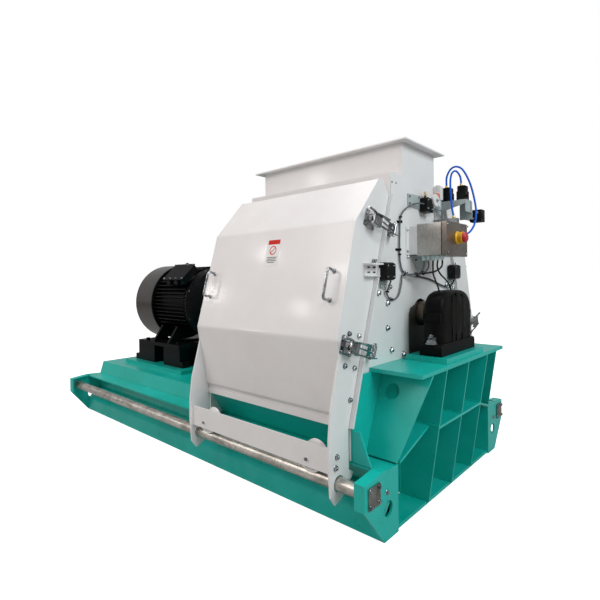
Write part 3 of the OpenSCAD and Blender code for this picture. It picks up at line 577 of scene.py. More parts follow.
film = [plate(rounded_box(-52, 52, -80, 80, 5), 0, 0.5, "y")]
band = [plate(corners(-47, 47, 48, 75), 0.5, 0.8, "y")]
ring_sign = [turned(corners(0.5, 0.8, 27, 21), 48, ring=True).placed(AXES["y"], (0, 0, 12))]
ring_sign += [plate(corners(-20, 20, -2.4, 2.4), 0.5, 0.8, "y").placed(
    AXES["y"] @ turn_z(-45) @ AXES["y"].T, (0, 0, 12))]
lines = [plate(corners(-40 + dx, 40 - dx, z, z + 4), 0.5, 0.8, "y")
         for dx, z in ((0, -32), (6, -42), (0, -52), (12, -62))]
for name, shapes, ink in (
    ("door_label_film", film, label_white),
    ("door_label_band", band, label_red),
    ("door_label_ring", ring_sign, label_red),
    ("door_label_bars", lines, label_grey),
):
    laid = on_face(shapes, 0.4, (label_mid(LABEL_Z), LABEL_Z), x=LABEL_X)
    put(name, on_side(laid, -1), "front_door", ink)

# ---------------- guide tubes and their caps
caps, cap_bolts = [], []
for turn in (np.eye(3), MIRROR_Y, MIRROR_X, MIRROR_X @ MIRROR_Y):
    square = rounded_box(777, 871, 199, 297, 5)
    caps.append(plate(square, BASE_HALF, BASE_HALF + 8).placed(turn))
    cap_bolts += [bolt((BASE_HALF + 8, y, z), "x", 11).placed(turn) for y in (790, 858) for z in (213, 283)]
    cap_bolts.append(bolt((BASE_HALF, 712, 226), "x", 12).placed(turn))
put("tube_cap_plates", caps, "base", plate_steel, ["tube_end_caps"], 1.2)
put("tube_cap_bolts", cap_bolts, "base", bright_steel)

# ---------------- wall bolts
WALL_BOLTS = [(364, 1164), (387, 1077), (390, 942), (351, 817), (219, 777), (477, 1135)]
heads = [bolt((WALL, y, z), "x", 16, stub=4) for y, z in WALL_BOLTS]
heads += [bolt((WALL_BACK, y, z), "-x", 16) for y, z in ((470, 700), (600, 640))]
put("casing_wall_bolts", both_sides(heads), "base", bright_steel, ["casing_bolts"])
plugs = [turned([(0, 6), (0.8, 6), (1.2, 4.5)], 20).placed(AXES["x"], (WALL, y, z))
         for y, z in ((-319, 1746), (-275, 1747), (-321, 1668), (206, 1327), (330, 1314))]
put("casing_hole_plugs", plugs, "base", dark_paint)

# ---------------- door clamps
CLAMPS = {"upper": (409.5, 1490, 18.77), "lower": (626, 860, 20.12)}
PIVOT = (1486, -46)


def clamp_foot():
    """Angle bracket with two cheeks and a pin with heads, in the clamp's own frame."""
    cheek = rounded_line([(1450, -68), (1476, -68), (1492, -57), (1492, -35), (1476, -24), (1450, -24)], 9, 4, True)
    shapes = [block(1446.4, 1451.5, -72, -20, -34, 34)]
    shapes += [plate(cheek, z, z + 4, "z") for z in (-30, 26)]
    shapes += [turned([(-40, 6), (40, 6)], 20).placed(shift=(*PIVOT, 0))]
    shapes += [turned([(z, 9), (z + 4, 9)], 20).placed(shift=(*PIVOT, 0)) for z in (-40, 36)]
    return shapes


def clamp_handle():
    """Toggle lever: a barrel on the pin, two rods, a channel over the catch, grip bars and a stud."""
    shapes = [turned([(-27, 6.2), (-27, 11), (27, 11), (27, 6.2)], 28, ring=True).placed(shift=(*PIVOT, 0))]
    shapes += [rod([(PIVOT[0], PIVOT[1] - 4, z), (1496, 110, z - 4)], 4.5, 14) for z in (-12, 14)]
    shapes.append(plate(rounded_box(104, 176, -56, 4, 9), 1497, 1501))
    wing = rounded_line([(1478, 104), (1501, 104), (1501, 176), (1478, 170)], 5, 4, True)
    shapes += [plate(wing, z, z + 4, "z") for z in (-56, 0)]
    shapes.append(rod(rounded_line([(1489, 140, 2), (1497, 176, 6), (1497, 232, 4)], 12), 6, 18))
    shapes.append(rod(rounded_line([(1503, 170, -2), (1506, 120, 4), (1506, 44, 14)], 12), 5, 16))
    shapes.append(rod(rounded_line([(1503, 168, -50), (1506, 90, -50), (1506, 22, -44)], 12), 5, 16))
    shapes.append(rod([(1506, 24, -47), (1506, -52, -34)], 3.2, 12))
    shapes.append(turned([(0, 8), (12, 8)], 6).placed(AXES["y"], (1506, 8, -46)))
    shapes += [turned([(0, 6), (60, 6)], 18).placed(shift=(1489, y, -58)) for y in (114, 166)]
    shapes.append(rod(rounded_line([(1484, 164, 0), (1462, 166, 0), (1456, 166, 0)], 6), 6, 16))
    return shapes


def clamp_spring():
    """Coil of the toggle: x = r cos t, z = r sin t round the channel's middle, y rising with t."""
    t = np.linspace(0, 2 * np.pi * 7, 140)
    return [rod(np.column_stack([1488 + 7 * np.cos(t), 118 + 56 * t / t[-1], -30 + 13 * np.sin(t)]), 3.2, 8)]


def clamp_catch():
    """Catch plate on the door's side plate: a foot with rolled edges and two bolts."""
    foot = plate(rounded_box(92, 186, -66, 26, 8), 1443.4, 1448)
    return [foot, *(bolt((1448, y, -54), "x", 8, stub=2) for y in (104, 174))]


feet = []
for place, (y, z, slope) in CLAMPS.items():
    feet += on_face(clamp_foot(), 0, (y, z), slope)
    for end, side in SIDES.items():
        lever = on_face(clamp_handle(), 0, (y, z), slope)
        put(f"clamp_toggle_{end}_{place}", on_side(lever, side), f"clamp_{end}_{place}", bright_steel,
            [f"clamp_lever_{end}_{place}"], 0.6)
        spring = on_face(clamp_spring(), 0, (y, z), slope)
        put(f"clamp_spring_{end}_{place}", on_side(spring, side), f"clamp_{end}_{place}", black_plastic)
        catch = on_face(clamp_catch(), 0, (y, z), slope)
        put(f"clamp_catch_{end}_{place}", on_side(catch, side), f"{end}_door", bright_steel, (), 0.6)
put("clamp_feet", both_sides(feet), "base", bright_steel, ["clamp_bases"], 0.6)


# ---------------- bearing housings
HOUSING_MID, HOUSING_DEPTH = 64, 128
BASE_BOLT_Y = (-214, 214)


def housing(x, blind):
    """Split plummer block: arched rings of a superellipse, pulled in towards both ends, on a foot.
    Point a of a ring stands at y = 205 cos^0.62 a, z = 1000 + 138 sin^0.62 a above the joint. A
    blind housing has a boss and bands on its closed end face."""
    a = np.linspace(0, np.pi, 33)
    arch = np.column_stack([205 * np.sign(np.cos(a)) * np.abs(np.cos(a)) ** 0.62, 1000 + 138 * np.sin(a) ** 0.62])
    ring = np.concatenate([[(212, 848)], arch, [(-212, 848)]])
    span = np.array([(4, 0.86), (8, 0.93), (16, 0.975), (26, 1.0), (102, 1.0), (112, 0.975), (120, 0.93), (124, 0.86)])
    centre = np.array([0, 900.0])
    rings = [np.column_stack([np.full(len(ring), x + s), (ring - centre) * k + centre]) for s, k in span]
    shapes = [lofted(rings)]
    foot = rounded_line([(-235, 784), (235, 784), (235, 838), (222, 852), (-222, 852), (-235, 838)], 8, 4, True)
    shapes.append(plate(foot, x, x + HOUSING_DEPTH))
    flange = rounded_box(-216, 216, 966, 1018, 10)
    shapes.append(plate(flange, x + 14, x + 114))
    if blind:
        boss = turned([(-8, 118), (-1, 117), (2.5, 110), (3.5, 60)], 64)
        shapes.append(boss.placed(AXES["x"], (x + 124, 0, SHAFT_Z)))
        bands = [((-86, 850), (-62, 850), (-62, 1118), (-86, 1104)), ((-30, 850), (-8, 850), (-8, 1124), (-30, 1124)),
                 ((54, 850), (74, 850), (74, 1110), (54, 1118))]
        shapes += [plate(rounded_line(b, 6, 4, True), x + 100, x + HOUSING_DEPTH) for b in bands]
    # Upright ribs on the arch and on the lower half
    for y in (-72, 72):
        web = rounded_line([(-6, 1040), (6, 1040), (5, 1112), (-5, 1112)], 4, 4, True)
        shapes.append(plate(np.asarray(web) + (y, 0), x + 6, x + 122))
    for y in (-150, -90, 90, 150):
        web = rounded_line([(-7, 850), (7, 850), (6, 940), (-6, 940)], 4, 4, True)
        shapes.append(plate(np.asarray(web) + (y, 0), x + 3, x + 125))
    return shapes


def housing_bolts(x):
    """Cap bolts at the joint, base bolts on their washers in the foot and a grease nipple on top."""
    cap = [bolt((bx, y, 1018), "z", 16) for bx in (x + 36, x + 92) for y in (-190, 190)]
    nipple = turned([(0, 7), (8, 7), (9, 4), (16, 4), (18, 6), (22, 5), (24, 2)], 16)
    nipple = nipple.placed(shift=(x + HOUSING_MID, 0, 1136))
    base = [bolt((x + HOUSING_MID, y, 866), "z", 28, stub=12) for y in BASE_BOLT_Y]
    collar = turned([(0, 36), (8, 36), (8, 30), (18, 30)], 28)
    return cap, base + [nipple] + [collar.placed(shift=(x + HOUSING_MID, y, 849)) for y in BASE_BOLT_Y]


for name, x, blind in (("motor_side", 71, False), ("control_side", 1556, True)):
    stands = ["bearing_housings"] if blind else ()
    put(f"plummer_block_{name}", housing(x, blind), "base", black_cast, stands, 3.0)
    cap, foot = housing_bolts(x)
    put(f"plummer_cap_bolts_{name}", cap, "base", black_cast)
    put(f"plummer_foot_bolts_{name}", foot, "base", bright_steel)

# ---------------- motor
COWL_BACK, COWL_FRONT, FINS_END = -1408, -1092, -600
COWL_R = 363
EYE_X, EYE_FOOT, EYE_MID = -1040, 1326, 1360
MOTOR_FOOT_X, MOTOR_FOOT_Y, MOTOR_FOOT_TOP = (-1130, -620), (-380, 380), 660
BEARING_CAP_X = -508


def on_shaft(shape, x, turn=0):
    """A shape whose Z is laid along the shaft's line, with its foot at x."""
    return shape.placed(AXES["x"] @ turn_z(turn), (x, 0, SHAFT_Z))


cowl = [(0, 250), (0, 340), (2, 348), (8, 356), (20, COWL_R), (306, COWL_R), (309, COWL_R + 3), (315.6, COWL_R + 3),
        (315.6, COWL_R - 4), (22, COWL_R - 4), (12, 354), (4, 343), (4, 250)]
bars = [on_shaft(turned([(0, r - 4), (0, r + 4), (5, r + 4), (5, r - 4)], 72, ring=True), COWL_BACK)
        for r in range(60, 237, 22)]
bars += [on_shaft(block(-250, 250, -5, 5, 0, 5), COWL_BACK + 1, a) for a in (0, 45, 90, 135)]
bars.append(on_shaft(turned([(0, 52), (4, 56), (6, 56), (6, 40)], 48), COWL_BACK - 1))
put("fan_cowl_shell", on_shaft(turned(cowl, 96, ring=True), COWL_BACK), "base", cowl_paint, ["motor_fan_cowl"], 0, 25)
put("fan_cowl_grille", bars, "base", cowl_paint)
shield = turned([(-14, 62), (-14, 200), (-6, 357), (-1, 357), (-1, 62)], 72, ring=True)
put("motor_fan_end_shield", on_shaft(shield, COWL_FRONT), "base", motor_paint, (), 0, 30)


def round_table(radius, count, start=0.0):
    """(y, z) of equal places on a circle about the shaft."""
    a = np.radians(start) + np.linspace(0, 2 * np.pi, count, endpoint=False)
    return np.column_stack([radius * np.cos(a), SHAFT_Z + radius * np.sin(a)]).tolist()


heads = [bolt((FINS_END + 22, y, z), "x", 12) for y, z in round_table(316, 8, 22.5)]
heads += [bolt((x, y, MOTOR_FOOT_TOP), "z", 20) for x in MOTOR_FOOT_X for y in MOTOR_FOOT_Y]
put("motor_bolts", heads, "base", bright_steel)
cap_ring = on_shaft(turned([(-8, 178), (6, 178), (10, 172), (10, 120), (6, 116)], 64), BEARING_CAP_X)
eye_turn = np.linspace(0, 2 * np.pi, 32, endpoint=False)
eye = rod(np.column_stack([0 * eye_turn, 18 * np.cos(eye_turn), 18 * np.sin(eye_turn)]), 6, 14, True)
eye_stem = turned([(0, 15), (6, 15), (12, 10), (22, 9)], 24)
eye_parts = [eye.placed(shift=(EYE_X, 0, EYE_MID)), eye_stem.placed(shift=(EYE_X, 0, EYE_FOOT))]
put("motor_lifting_eyes", eye_parts, "base", black_cast)
put("motor_bearing_cap", cap_ring, "base", motor_paint, (), 0, 25)
# Terminal box on the shoulder, with a lid, its screws and two glands
box_turn, box_at = turn_x(45), (-880, -243, 1243)
body_box = plate(rounded_box(0, 300, -100, 86, 16, 5), 3, 62, "z")
lid = plate(rounded_box(-6, 306, -106, 92, 18, 5), 62.4, 72, "z")
put("terminal_box_body", body_box.placed(box_turn, box_at), "base", motor_paint, ["motor_terminal_box"], 2.0)
put("terminal_box_lid", lid.placed(box_turn, box_at), "base", motor_paint, (), 3.0)
lid_screws = [bolt((x, y, 72), "z", 9).placed(box_turn, box_at) for x in (12, 105, 198, 290) for y in (-92, 78)]
put("terminal_box_screws", lid_screws, "base", bright_steel)
gland = turned([(0, 26), (14, 26), (15, 21), (30, 21), (34, 15), (34, 9)], 6)
glands = [gland.placed(AXES["-y"], (x, -100, 42)).placed(box_turn, box_at) for x in (90, 210)]
put("terminal_box_glands", glands, "base", black_plastic)

# ---------------- control box
BOX_X, BOX_Y, BOX_Z = (1500, 1645, 1679), (-139, 146), (1336, 1522)
ESTOP = (5, 1438)
BUTTON_AT = (BOX_X[2], *ESTOP)
BUTTON_HOLE = 17


def box_outline(grow_y, grow_z, radius, steps=4):
    """Outline of the box in Y and Z, grown by so much on every side."""
    (y0, y1), (z0, z1) = BOX_Y, BOX_Z
    return rounded_box(y0 - grow_y, y1 + grow_y, z0 - grow_z, z1 + grow_z, radius, steps)


def at_x(outline, x):
    """An outline in Y and Z as a ring of points at x."""
    return np.column_stack([np.full(len(outline), x), outline])


outer, inside = box_outline(0, 0, 6), box_outline(-3, -3, 4)
tray = [at_x(*pair) for pair in ((outer, BOX_X[0]), (outer, BOX_X[1]), (inside, BOX_X[1]), (inside, BOX_X[0] + 3))]
put("control_box_tray", lofted(tray), "base", stainless, ["control_box"], 0.6)
grown, seal = box_outline(2, 3, 7), box_outline(-1, -1, 5)


def ring_at(x, outline):
    """The button's hole at x, with its points in the same directions as an outline's."""
    d = np.asarray(outline) - ESTOP
    d = d / np.linalg.norm(d, axis=1)[:, None]
    return at_x(ESTOP + BUTTON_HOLE * d, x)


lid_rings = [at_x(grown, BOX_X[1] + 5), at_x(grown, BOX_X[2]),
             ring_at(BOX_X[2], grown), ring_at(BOX_X[1] + 5, grown)]
# The lid takes the darker copy of the stainless, its painted shade.
put("control_box_lid", lofted(lid_rings, True), "base", shaded_lid_stainless, ["control_box"], 1.0)
put("control_box_seal", lofted([at_x(seal, x) for x in (BOX_X[1] - 2, BOX_X[1] + 5.5)]), "base", black_plastic)
screw_y, screw_z = (BOX_Y[0] + 14, BOX_Y[1] - 14), (BOX_Z[0] + 14, BOX_Z[1] - 14)
lid_screws = [screw((BOX_X[2], y, z), "x", 8) for y in screw_y for z in screw_z]
put("control_box_screws", lid_screws, "base", bright_steel)
collar = [(0, 17), (0, 38), (4, 38), (7, 35), (9, 31), (34, 34), (36, 33), (36, 29), (10, 27), (6, 17)]
collar = turned(collar, 48, ring=True)
put("stop_button_collar", collar.placed(AXES["x"], BUTTON_AT), "base", yellow_plastic, (), 0, 28)
mushroom = turned([(-20, 10), (30, 10), (31, 24), (33, 27), (46, 28), (52, 26), (56, 20), (57, 8)], 48)
put("stop_button_head", mushroom.placed(AXES["x"], BUTTON_AT), "estop", red_plastic, ["estop_button"], 0, 40)
bracket = [block(ON_WALL, WALL + 5, -172, 178, 1345, 1512)]
bracket += [block(WALL + 4.5, BOX_X[0] - 0.4, y, y + 5, 1346, 1510) for y in (BOX_Y[0] - 1, BOX_Y[1] - 5)]
put("control_box_bracket", bracket, "base", white_paint, (), 1.0)
gusset = [plate([(-123, 1344), (-30, 1248), (40, 1248), (140, 1344)], ON_WALL, WALL + 5)]
gusset += [block(WALL + 4, WALL + 60, -110, 120, 1337, 1342)]
put("control_box_gusset", gusset, "base", grey_plastic, (), 0.8)
heads = [bolt((ON_WALL, y, z), "x", 10, stub=3) for y, z in ((-152, 1334), (-173, 1246), (160, 1330))]
heads += [bolt((WALL + 5, y, z), "x", 8, stub=3)
          for y, z in ((-60, 1318), (60, 1318), (-160, 1490), (-160, 1366), (166, 1490), (166, 1366))]
put("control_box_bolts", heads, "base", bright_steel)
GLAND_X, GLAND_Y = range(1520, 1633, 28), -95
glands = []
for x in GLAND_X:
    glands.append(turned([(0, 14), (9, 14), (10, 12.6)], 6).placed(AXES["-z"], (x, GLAND_Y, BOX_Z[0] - 0.4)))
    glands.append(turned([(9, 11), (20, 11), (24, 9), (26, 6.5)], 28).placed(AXES["-z"], (x, GLAND_Y, BOX_Z[0] - 0.4)))
put("cable_gland_nuts", glands, "base", gland_plastic, ["cable_glands"], 0.4)

# ---------------- door switches and flap sensor
def switch_body():
    """Moulded switch: a rounded body with a ribbed lid."""
    outline, middle = rounded_box(384, 486, 1200, 1296, 18, 5), (435, 1248)
    small = (np.asarray(outline) - middle) * 0.9 + middle
    rings = [at_x(o, x) for x, o in ((1458, outline), (1492, outline), (1500, small), (1503, small))]
    ribs = [plate(corners(400, 470, z, z + 4), 1502, 1505) for z in (1236, 1246, 1256)]
    return [lofted(rings), *ribs]


switches = switch_body()
carriers = [plate([(398, 1150), (470, 1160), (476, 1290), (390, 1290)], ON_WALL, WALL + 5),
            block(WALL + 4, 1458, 396, 474, 1190, 1195)]
dots = [screw((1503, y, z), "x", 5) for y in (406, 464) for z in (1218, 1278)]
heads = [bolt((WALL + 5, y, 1170), "x", 9, stub=2) for y in (414, 456)]
put("door_switches", both_sides(switches), "base", black_plastic, ["limit_switches"], 1.2)
put("door_switch_carriers", both_sides(carriers), "base", grey_plastic, (), 0.6)
put("door_switch_screws", both_sides(dots + heads), "base", bright_steel)
outline = rounded_line([(-150, 1632), (60, 1625), (60, 1712), (-150, 1706)], 8, 4, True)
put("flap_sensor_plate", plate(outline, ON_WALL, WALL + 6), "base", grey_plastic, (), 0.8)
sensor = [plate(rounded_line([(-8, 1610), (80, 1606), (84, 1690), (-4, 1698)], 14, 5, True), WALL + 6.4, WALL + 54),
          turned([(0, 12), (10, 12), (12, 8), (26, 8)], 24).placed(AXES["z"], (WALL + 26, 28, 1684))]
put("flap_sensor_body", sensor, "base", black_plastic, (), 1.5)
disc = turned([(20, 24), (46, 24), (46, 38), (48, 40), (62, 40), (66, 37), (67, 26), (67, 8)], 48)
put("flap_sensor_disc", disc.placed(AXES["x"], (WALL, 104, 1686)), "base", white_plastic, (), 0, 30)
heads = [bolt((WALL + 54, y, z), "x", 7) for y, z in ((10, 1628), (64, 1626), (12, 1680))]
heads += [bolt((WALL + 6, y, z), "x", 8) for y, z in ((-132, 1690), (-132, 1650), (-20, 1698))]
heads.append(bolt((WALL + 67, 104, 1686), "x", 10))
put("flap_sensor_screws", heads, "base", bright_steel)
stub_fit = [turned([(0, 8), (10, 8), (12, 6), (26, 6), (28, 4)], 16).placed(AXES["z"], (WALL + 26, 28, 1708))]
put("flap_sensor_fitting", stub_fit, "base", brass)

# ---------------- air valves
SHELF_Z = 1696
VALVE_X = (1478, 1574)
KNOB_AT = (1480, 186, 1730)
KNOB_POINTS, KNOB_LOBES = 48, 12
shelf = [plate(rounded_box(ON_WALL, 1640, 232, 334, 6), SHELF_Z - 4, SHELF_Z, "z"),
         block(1635, 1640, 233, 333, SHELF_Z - 76, SHELF_Z - 3),
         plate([(232, 1692), (334, 1692), (334, 1600), (310, 1600)], ON_WALL, WALL + 5)]
put("valve_shelf", shelf, "base", grey_plastic, ["air_valves"], 0.8)


def air_valve(x):
    """Solenoid valve: a body, a ribbed coil beside it, and end caps."""
    shapes = [block(x, x + 56, 250, 314, SHELF_Z + 0.4, SHELF_Z + 56)]
    shapes += [block(x + 3, x + 53, 253, 311, SHELF_Z + 55 + 6 * i, SHELF_Z + 59 + 6 * i) for i in range(6)]
    shapes.append(block(x + 6, x + 50, 256, 308, SHELF_Z + 54, SHELF_Z + 92))
    shapes.append(turned([(0, 9), (12, 9), (13, 7)], 20).placed(AXES["x"], (x + 56, 268, SHELF_Z + 26)))
    return shapes


put("air_valve_bodies", [s for x in VALVE_X for s in air_valve(x)], "base", black_plastic, (), 1.2)
fit = [(0, 10), (6, 10), (7, 8.6), (14, 8.6), (17, 7)]
fittings = [turned(fit, 24).placed(AXES["z"], (x + 20, 280, SHELF_Z + 91.5)) for x in VALVE_X]
fittings += [turned(fit, 24).placed(AXES[axis], at)
             for axis, at in (("z", (1572, 210, 1579.5)), ("x", (1611.5, 210, 1475)))]
fittings += [turned([(0, 8), (10, 8), (11, 5.5), (15, 5.5)], 20).placed(AXES["-y"], (x, 400, z))
             for x, z in ((1622, 1590), (1652, 1626))]
put("air_fittings", fittings, "base", brass)
manifold = [block(ON_WALL, 1600, 192, 228, 1548, 1580), block(ON_WALL, 1612, 192, 228, 1460, 1490)]
put("air_manifold_bars", manifold, "base", bright_steel, (), 1.5)
regulator = [plate(rounded_box(ON_WALL, 1500, 188, 226, 7), 1704, 1790, "z"),
             turned([(1790, 19), (1797, 18), (1800, 14)], 32).placed(shift=(1474, 207, 0))]
put("air_regulator_body", regulator, "base", white_plastic, ["air_regulator"], 1.5)
bowl = turned([(1604, 8), (1606, 12), (1636, 13), (1641, 20), (1700, 20.5), (1704, 18)], 36)
put("air_regulator_bowl", bowl.placed(shift=(1476, 207, 0)), "base", clear_plastic, (), 0, 40)
dial = turned([(0, 9), (0, 21), (3, 22), (5, 20), (5, 9)], 40, ring=True).placed(AXES["-y"], (1480, 188, 1730))
put("air_regulator_dial", dial, "base", white_plastic, (), 0, 30)
a = np.linspace(0, 2 * np.pi, KNOB_POINTS, endpoint=False)
radius = 14.2 + 0.9 * np.cos(KNOB_LOBES * a)
knob_rings = [np.column_stack([k * radius * np.cos(a), k * radius * np.sin(a), np.full(KNOB_POINTS, h)])
              for h, k in ((0.6, 0.92), (2, 1.0), (20, 1.0), (23, 0.92), (24, 0.7))]
put("regulator_knob_cap", lofted(knob_rings).placed(AXES["-y"], KNOB_AT), "pressure_knob", orange_plastic,
    ["regulator_knob"])
pointer = plate(corners(-1.5, 1.5, 4, 12), 23.6, 24.6, "z").placed(AXES["-y"], KNOB_AT)
put("regulator_knob_pointer", pointer, "pressure_knob", white_plastic)
lock = [plate(rounded_box(402, 470, 1568, 1648, 8), 1598.4, 1672),
        turned([(0, 24), (4, 24), (5, 20)], 36).placed(AXES["x"], (1671, 436, 1608))]
put("lock_cylinder_body", lock, "base", black_plastic, ["door_lock_cylinder"], 2.0)
lock_plates = [block(1592, 1598, 340.4, 452, 1580, 1650), block(1560, 1640, 334.4, 340, 1580, 1691)]
put("lock_cylinder_plates", lock_plates, "base", grey_plastic, (), 0.8)
lip = [(WALL + 3, SHELF_Z - 3), (1640, SHELF_Z - 3), (1640, SHELF_Z - 24), (WALL + 3, SHELF_Z - 76)]
put("valve_shelf_lip", plate(rounded_line(lip, 5, 4, True), 231, 235, "y"), "base", grey_plastic, (), 0.8)

# ---------------- hoses and cables
WALL_C = WALL + 10
HOSE_A = [(1498, 280, 1805), (1500, 280, 1860), (1525, 280, 1905), (1561, 282, 1918), (1602, 286, 1892),
          (1640, 298, 1810), (1664, 306, 1710), (1678, 300, 1620), (1676, 280, 1545), (1664, 244, 1496),
          (1646, 217, 1477), (1625, 210, 1475)]
HOSE_B = [(1594, 280, 1805), (1589, 276, 1850), (1570, 262, 1884), (1552, 244, 1874), (1545, 232, 1830),
          (1547, 226, 1765), (1552, 221, 1710), (1561, 212, 1650), (1572, 210, 1593)]
CABLES = {
    "flap": [(1520, -95, 1309), (1520, -99, 1278), (1508, -112, 1246), (1478, -155, 1232), (WALL_C, -215, 1242),
             (WALL_C, -254, 1290), (WALL_C, -262, 1360), (WALL_C, -260, 1440), (WALL_C, -248, 1550),
             (WALL_C + 8, -205, 1606), (WALL_C + 14, -130, 1640), (WALL_C + 20, -60, 1654), (WALL_C + 24, -6, 1656)],
    "front_switch": [(1548, -95, 1309), (1549, -98, 1274), (1530, -116, 1240), (1488, -160, 1222), (WALL_C, -226, 1228),
                     (WALL_C + 2, -250, 1180), (WALL_C, -275, 1120), (WALL_C, -325, 1094), (WALL_C, -380, 1104),
                     (WALL_C + 6, -414, 1134), (WALL_C + 20, -412, 1170), (WALL_C + 24, -402, 1199)],
    "bearing_front": [(1576, -95, 1309), (1577, -99, 1274), (1580, -102, 1232), (1594, -98, 1188), (1604, -90, 1152),
                      (1606, -85, 1128)],
    "bearing_rear": [(1604, -95, 1309), (1604, -100, 1270), (1606, -66, 1232), (1608, 6, 1196), (1607, 60, 1160),
                     (1606, 74, 1128)],
    "rear_switch": [(1632, -95, 1309), (1630, -102, 1274), (1604, -114, 1250), (1562, -118, 1240), (1522, -120, 1236),
                    (1490, -118, 1230), (1466, -92, 1224), (WALL_C, -40, 1220), (WALL_C, 120, 1200),
                    (WALL_C, 300, 1156), (WALL_C + 6, 400, 1146), (WALL_C + 22, 436, 1199)],
}
hoses = [rod(curve_through(h), 6, 20) for h in (HOSE_A, HOSE_B)]
put("air_hose_lines", hoses, "base", blue_hose, ["air_hoses"], 0, 50)
for name, route in CABLES.items():
    tone = grey_sheath if name in ("flap", "front_switch") else cable_sheath
    put(f"cable_{name}", rod(curve_through(route), 4.8, 16), "base", tone,
        ["control_cables"] if name == "flap" else (), 0, 50)


def tie(at, along, radius=9.0, width=7.0):
    """Cable tie: a short ring round the route with its square lock."""
    w = np.asarray(along, float) / np.linalg.norm(along)
    u = np.cross(w, (0.3, 0.2, 0.9))
    u /= np.linalg.norm(u)
    turn = np.column_stack([u, np.cross(w, u), w])
    h = width / 2
    ring = turned([(-h, radius - 2), (-h, radius), (h, radius), (h, radius - 2)], 24, ring=True)
    return [ring.placed(turn, at), block(radius - 1, radius + 5, -4, 4, -h, h).placed(turn, at)]


ties = [piece for place in (
    ((WALL_C, -246, 1558), (0, 0.1, 1)),
    ((WALL_C, -260, 1345), (0, 0.1, 1)),
    ((1492, -142, 1230), (0.6, 1, 0), 15),
    ((1526, -117, 1239), (1, 0, 0.1), 13),
    ((WALL_C, -224, 1238), (0, -1, 0.5), 16),
    ((WALL_C, -362, 1098), (0, 1, -0.2)),
    ((WALL_C + 8, -414, 1140), (0, 0.2, 1), 11),
) for piece in tie(*place)]
put("cable_ties", ties, "base", black_plastic, (), 0.5)
clips = [joined([turned([(-7, 8), (-7, 10), (7, 10), (7, 8)], 20, ring=True).placed(AXES["z"], (WALL_C, y, z)),
                 block(ON_WALL, WALL + 2.4, y - 30, y - 4, z - 7, z + 7), screw((WALL + 2.4, y - 20, z), "x", 6)])
         for y, z in ((-246, 1530), (-262, 1372))]
put("cable_clips", clips, "base", black_plastic, (), 0.4)


# ---------------- weld beads
def bead(start, end, radius=4.5):
    """Weld bead: a rod whose radius ripples along it, r(s) = radius * (1 + 0.12 sin(2 pi s / 9 mm))."""
    start, end = np.asarray(start, float), np.asarray(end, float)
    length = np.linalg.norm(end - start)
    f = np.linspace(0, 1, max(8, int(length / 4.5)))[:, None]
    s = f[:, 0] * length
    return rod(start + (end - start) * f, radius * (1 + 0.12 * np.sin(2 * np.pi * s / 9.0 + 0.7)), 8)


SHELF_TOP, END_LEAN = 740, 113


def end_x(z):
    """X of the leaning end frame at height z: straight from the floor to the shelf."""
    return BASE_HALF + z / SHELF_TOP * END_LEAN


RIB_Y, RIB_HALF = (-294, 0, 294), 5
CORNER_X = 1462  # of the ribs with the end frame's back plate
beads = []
for y in [rib + s * RIB_HALF for rib in RIB_Y for s in (-1, 1)]:
    beads += [bead((CORNER_X, y, low), (CORNER_X, y, high)) for low, high in ((24, 416), (440, 732))]
    beads += [bead((CORNER_X, y, z), (end_x(z) - 4, y, z)) for z in (735, 436)]
beads += [bead((CORNER_X, y, 435), (1640, y, 435), 4) for y in (-300, 300)]
put("end_frame_weld_beads", beads, "base", teal_paint, (), 0, 60)

# ---------------- camera, floor and light
CAM_AT = (2.693, -2.4688, 1.2183)
YAW, PITCH, ROLL = (math.radians(v) for v in (42.153, -0.2, -0.72))
FILM_WIDTH, FOCAL_LENGTH = 36, 26.26
SHIFT = (0.0003, -0.0339)
ahead = np.array([-math.sin(YAW) * math.cos(PITCH), math.cos(YAW) * math.cos(PITCH), math.sin(PITCH)])
level = np.array([math.cos(YAW), math.sin(YAW), 0.0])
up = np.cross(level, ahead)
right = level * math.cos(ROLL) + up * math.sin(ROLL)
up = up * math.cos(ROLL) - level * math.sin(ROLL)
cam_data = bpy.data.cameras.new("camera")
cam_data.sensor_width, cam_data.lens = FILM_WIDTH, FOCAL_LENGTH
cam_data.shift_x, cam_data.shift_y = SHIFT
cam_data.clip_start, cam_data.clip_end = 0.05, 100
cam = bpy.data.objects.new("camera", cam_data)
bpy.context.scene.collection.objects.link(cam)
rows = [[*(float(v[i]) for v in (right, up, -ahead)), CAM_AT[i]] for i in range(3)]
cam.matrix_world = Matrix([*rows, [0, 0, 0, 1]])
bpy.context.scene.camera = cam

FLOOR_HALF = 60
floor = Finish("pale_floor")
directly_seen = floor.node("ShaderNodeLightPath")[0]
pale = floor.mix(floor.noise(0.8, 3), (0.88, 0.88, 0.88), (0.90, 0.90, 0.90))
floor.set("Base Color", floor.mix(directly_seen, (0.42, 0.42, 0.41), pale))
floor.set("Emission Color", floor.mix(directly_seen, (0.0, 0.0, 0.0), (1.0, 1.0, 1.0)))
floor.set("Emission Strength", 0.74)
floor.set("Roughness", floor.noise(5, 2) * 0.1 + 0.6)
ground = bpy.data.meshes.new("floor")
square = corners(-FLOOR_HALF, FLOOR_HALF, -FLOOR_HALF, FLOOR_HALF)
ground.from_pydata([(x, y, 0) for x, y in square], [], [(0, 1, 2, 3)])
ground.materials.append(floor.material)
floor_obj = bpy.data.objects.new("floor", ground)
bpy.context.scene.collection.objects.link(floor_obj)

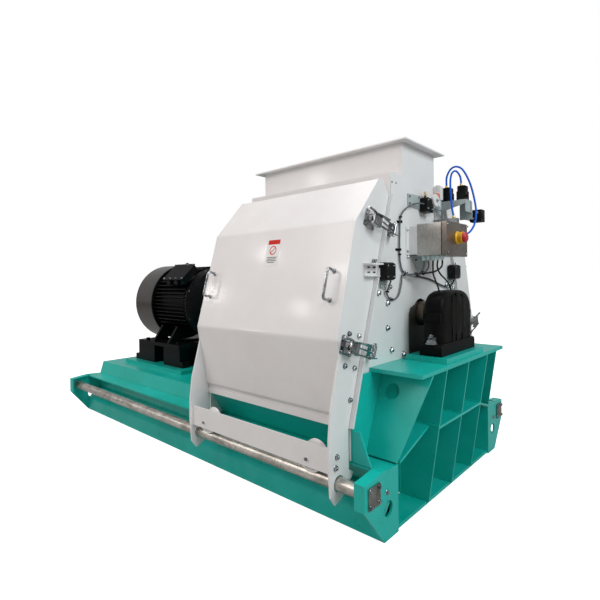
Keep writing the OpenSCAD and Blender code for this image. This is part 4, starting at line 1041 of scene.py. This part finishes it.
SKY_LIGHT, SKY_SEEN = 0.36, 1.0  # strength of the sky as light, and as a backdrop
world = bpy.data.worlds.new("studio")
bpy.context.scene.world = world
world.use_nodes = True
sky = world.node_tree.nodes["Background"]
sky.inputs["Color"].default_value = (1.0, 1.0, 1.0, 1)
seen = world.node_tree.nodes.new("ShaderNodeMapRange")
seen.inputs["To Min"].default_value, seen.inputs["To Max"].default_value = SKY_LIGHT, SKY_SEEN
ray = world.node_tree.nodes.new("ShaderNodeLightPath")
world.node_tree.links.new(ray.outputs["Is Camera Ray"], seen.inputs["Value"])
world.node_tree.links.new(seen.outputs[0], sky.inputs["Strength"])


def lamp(name, at, target, size, power, colour):
    """Square soft box that faces its target."""
    data = bpy.data.lights.new(name, "AREA")
    data.size, data.energy, data.color = size, power, colour
    o = bpy.data.objects.new(name, data)
    bpy.context.scene.collection.objects.link(o)
    away = np.asarray(at, float) - target
    z = away / np.linalg.norm(away)
    x = np.cross((0.0, 0.0, 1.0), z)
    x /= np.linalg.norm(x)
    y = np.cross(z, x)
    rows = [[float(v[i]) for v in (x, y, z, at)] for i in range(3)]
    o.matrix_world = Matrix([*rows, [0, 0, 0, 1]])


COOL_WHITE, PINK_WHITE, SOFT_WHITE, WARM_WHITE = (
    (0.86, 0.965, 1.0), (1.0, 0.885, 0.845), (1.0, 0.99, 0.98), (1.0, 0.98, 0.96))
lamp("key", (6.4, -1.0, 4.6), (0.6, 0, 0.8), 3.0, 215, COOL_WHITE)
lamp("fill", (-1.6, -5.4, 5.4), (0.2, 0, 0.9), 3.5, 142, PINK_WHITE)
lamp("top", (0.3, 0.3, 6.5), (0.2, 0.1, 1.0), 4.0, 125, SOFT_WHITE)
# Roof windows that are mirrored softly in the door
for i, (across, high) in enumerate(((-0.9, 3.2), (0.9, 3.6), (-0.3, 4.9), (1.4, 5.2), (0.2, 2.2))):
    at = (-4.9 + across * 0.75, -5.5 - across * 0.9, high)
    lamp(f"roof_panel_{i}", at, (0.9, -0.75, 1.2), 0.42, 12, WARM_WHITE)
bpy.context.scene.view_settings.view_transform = "Standard"
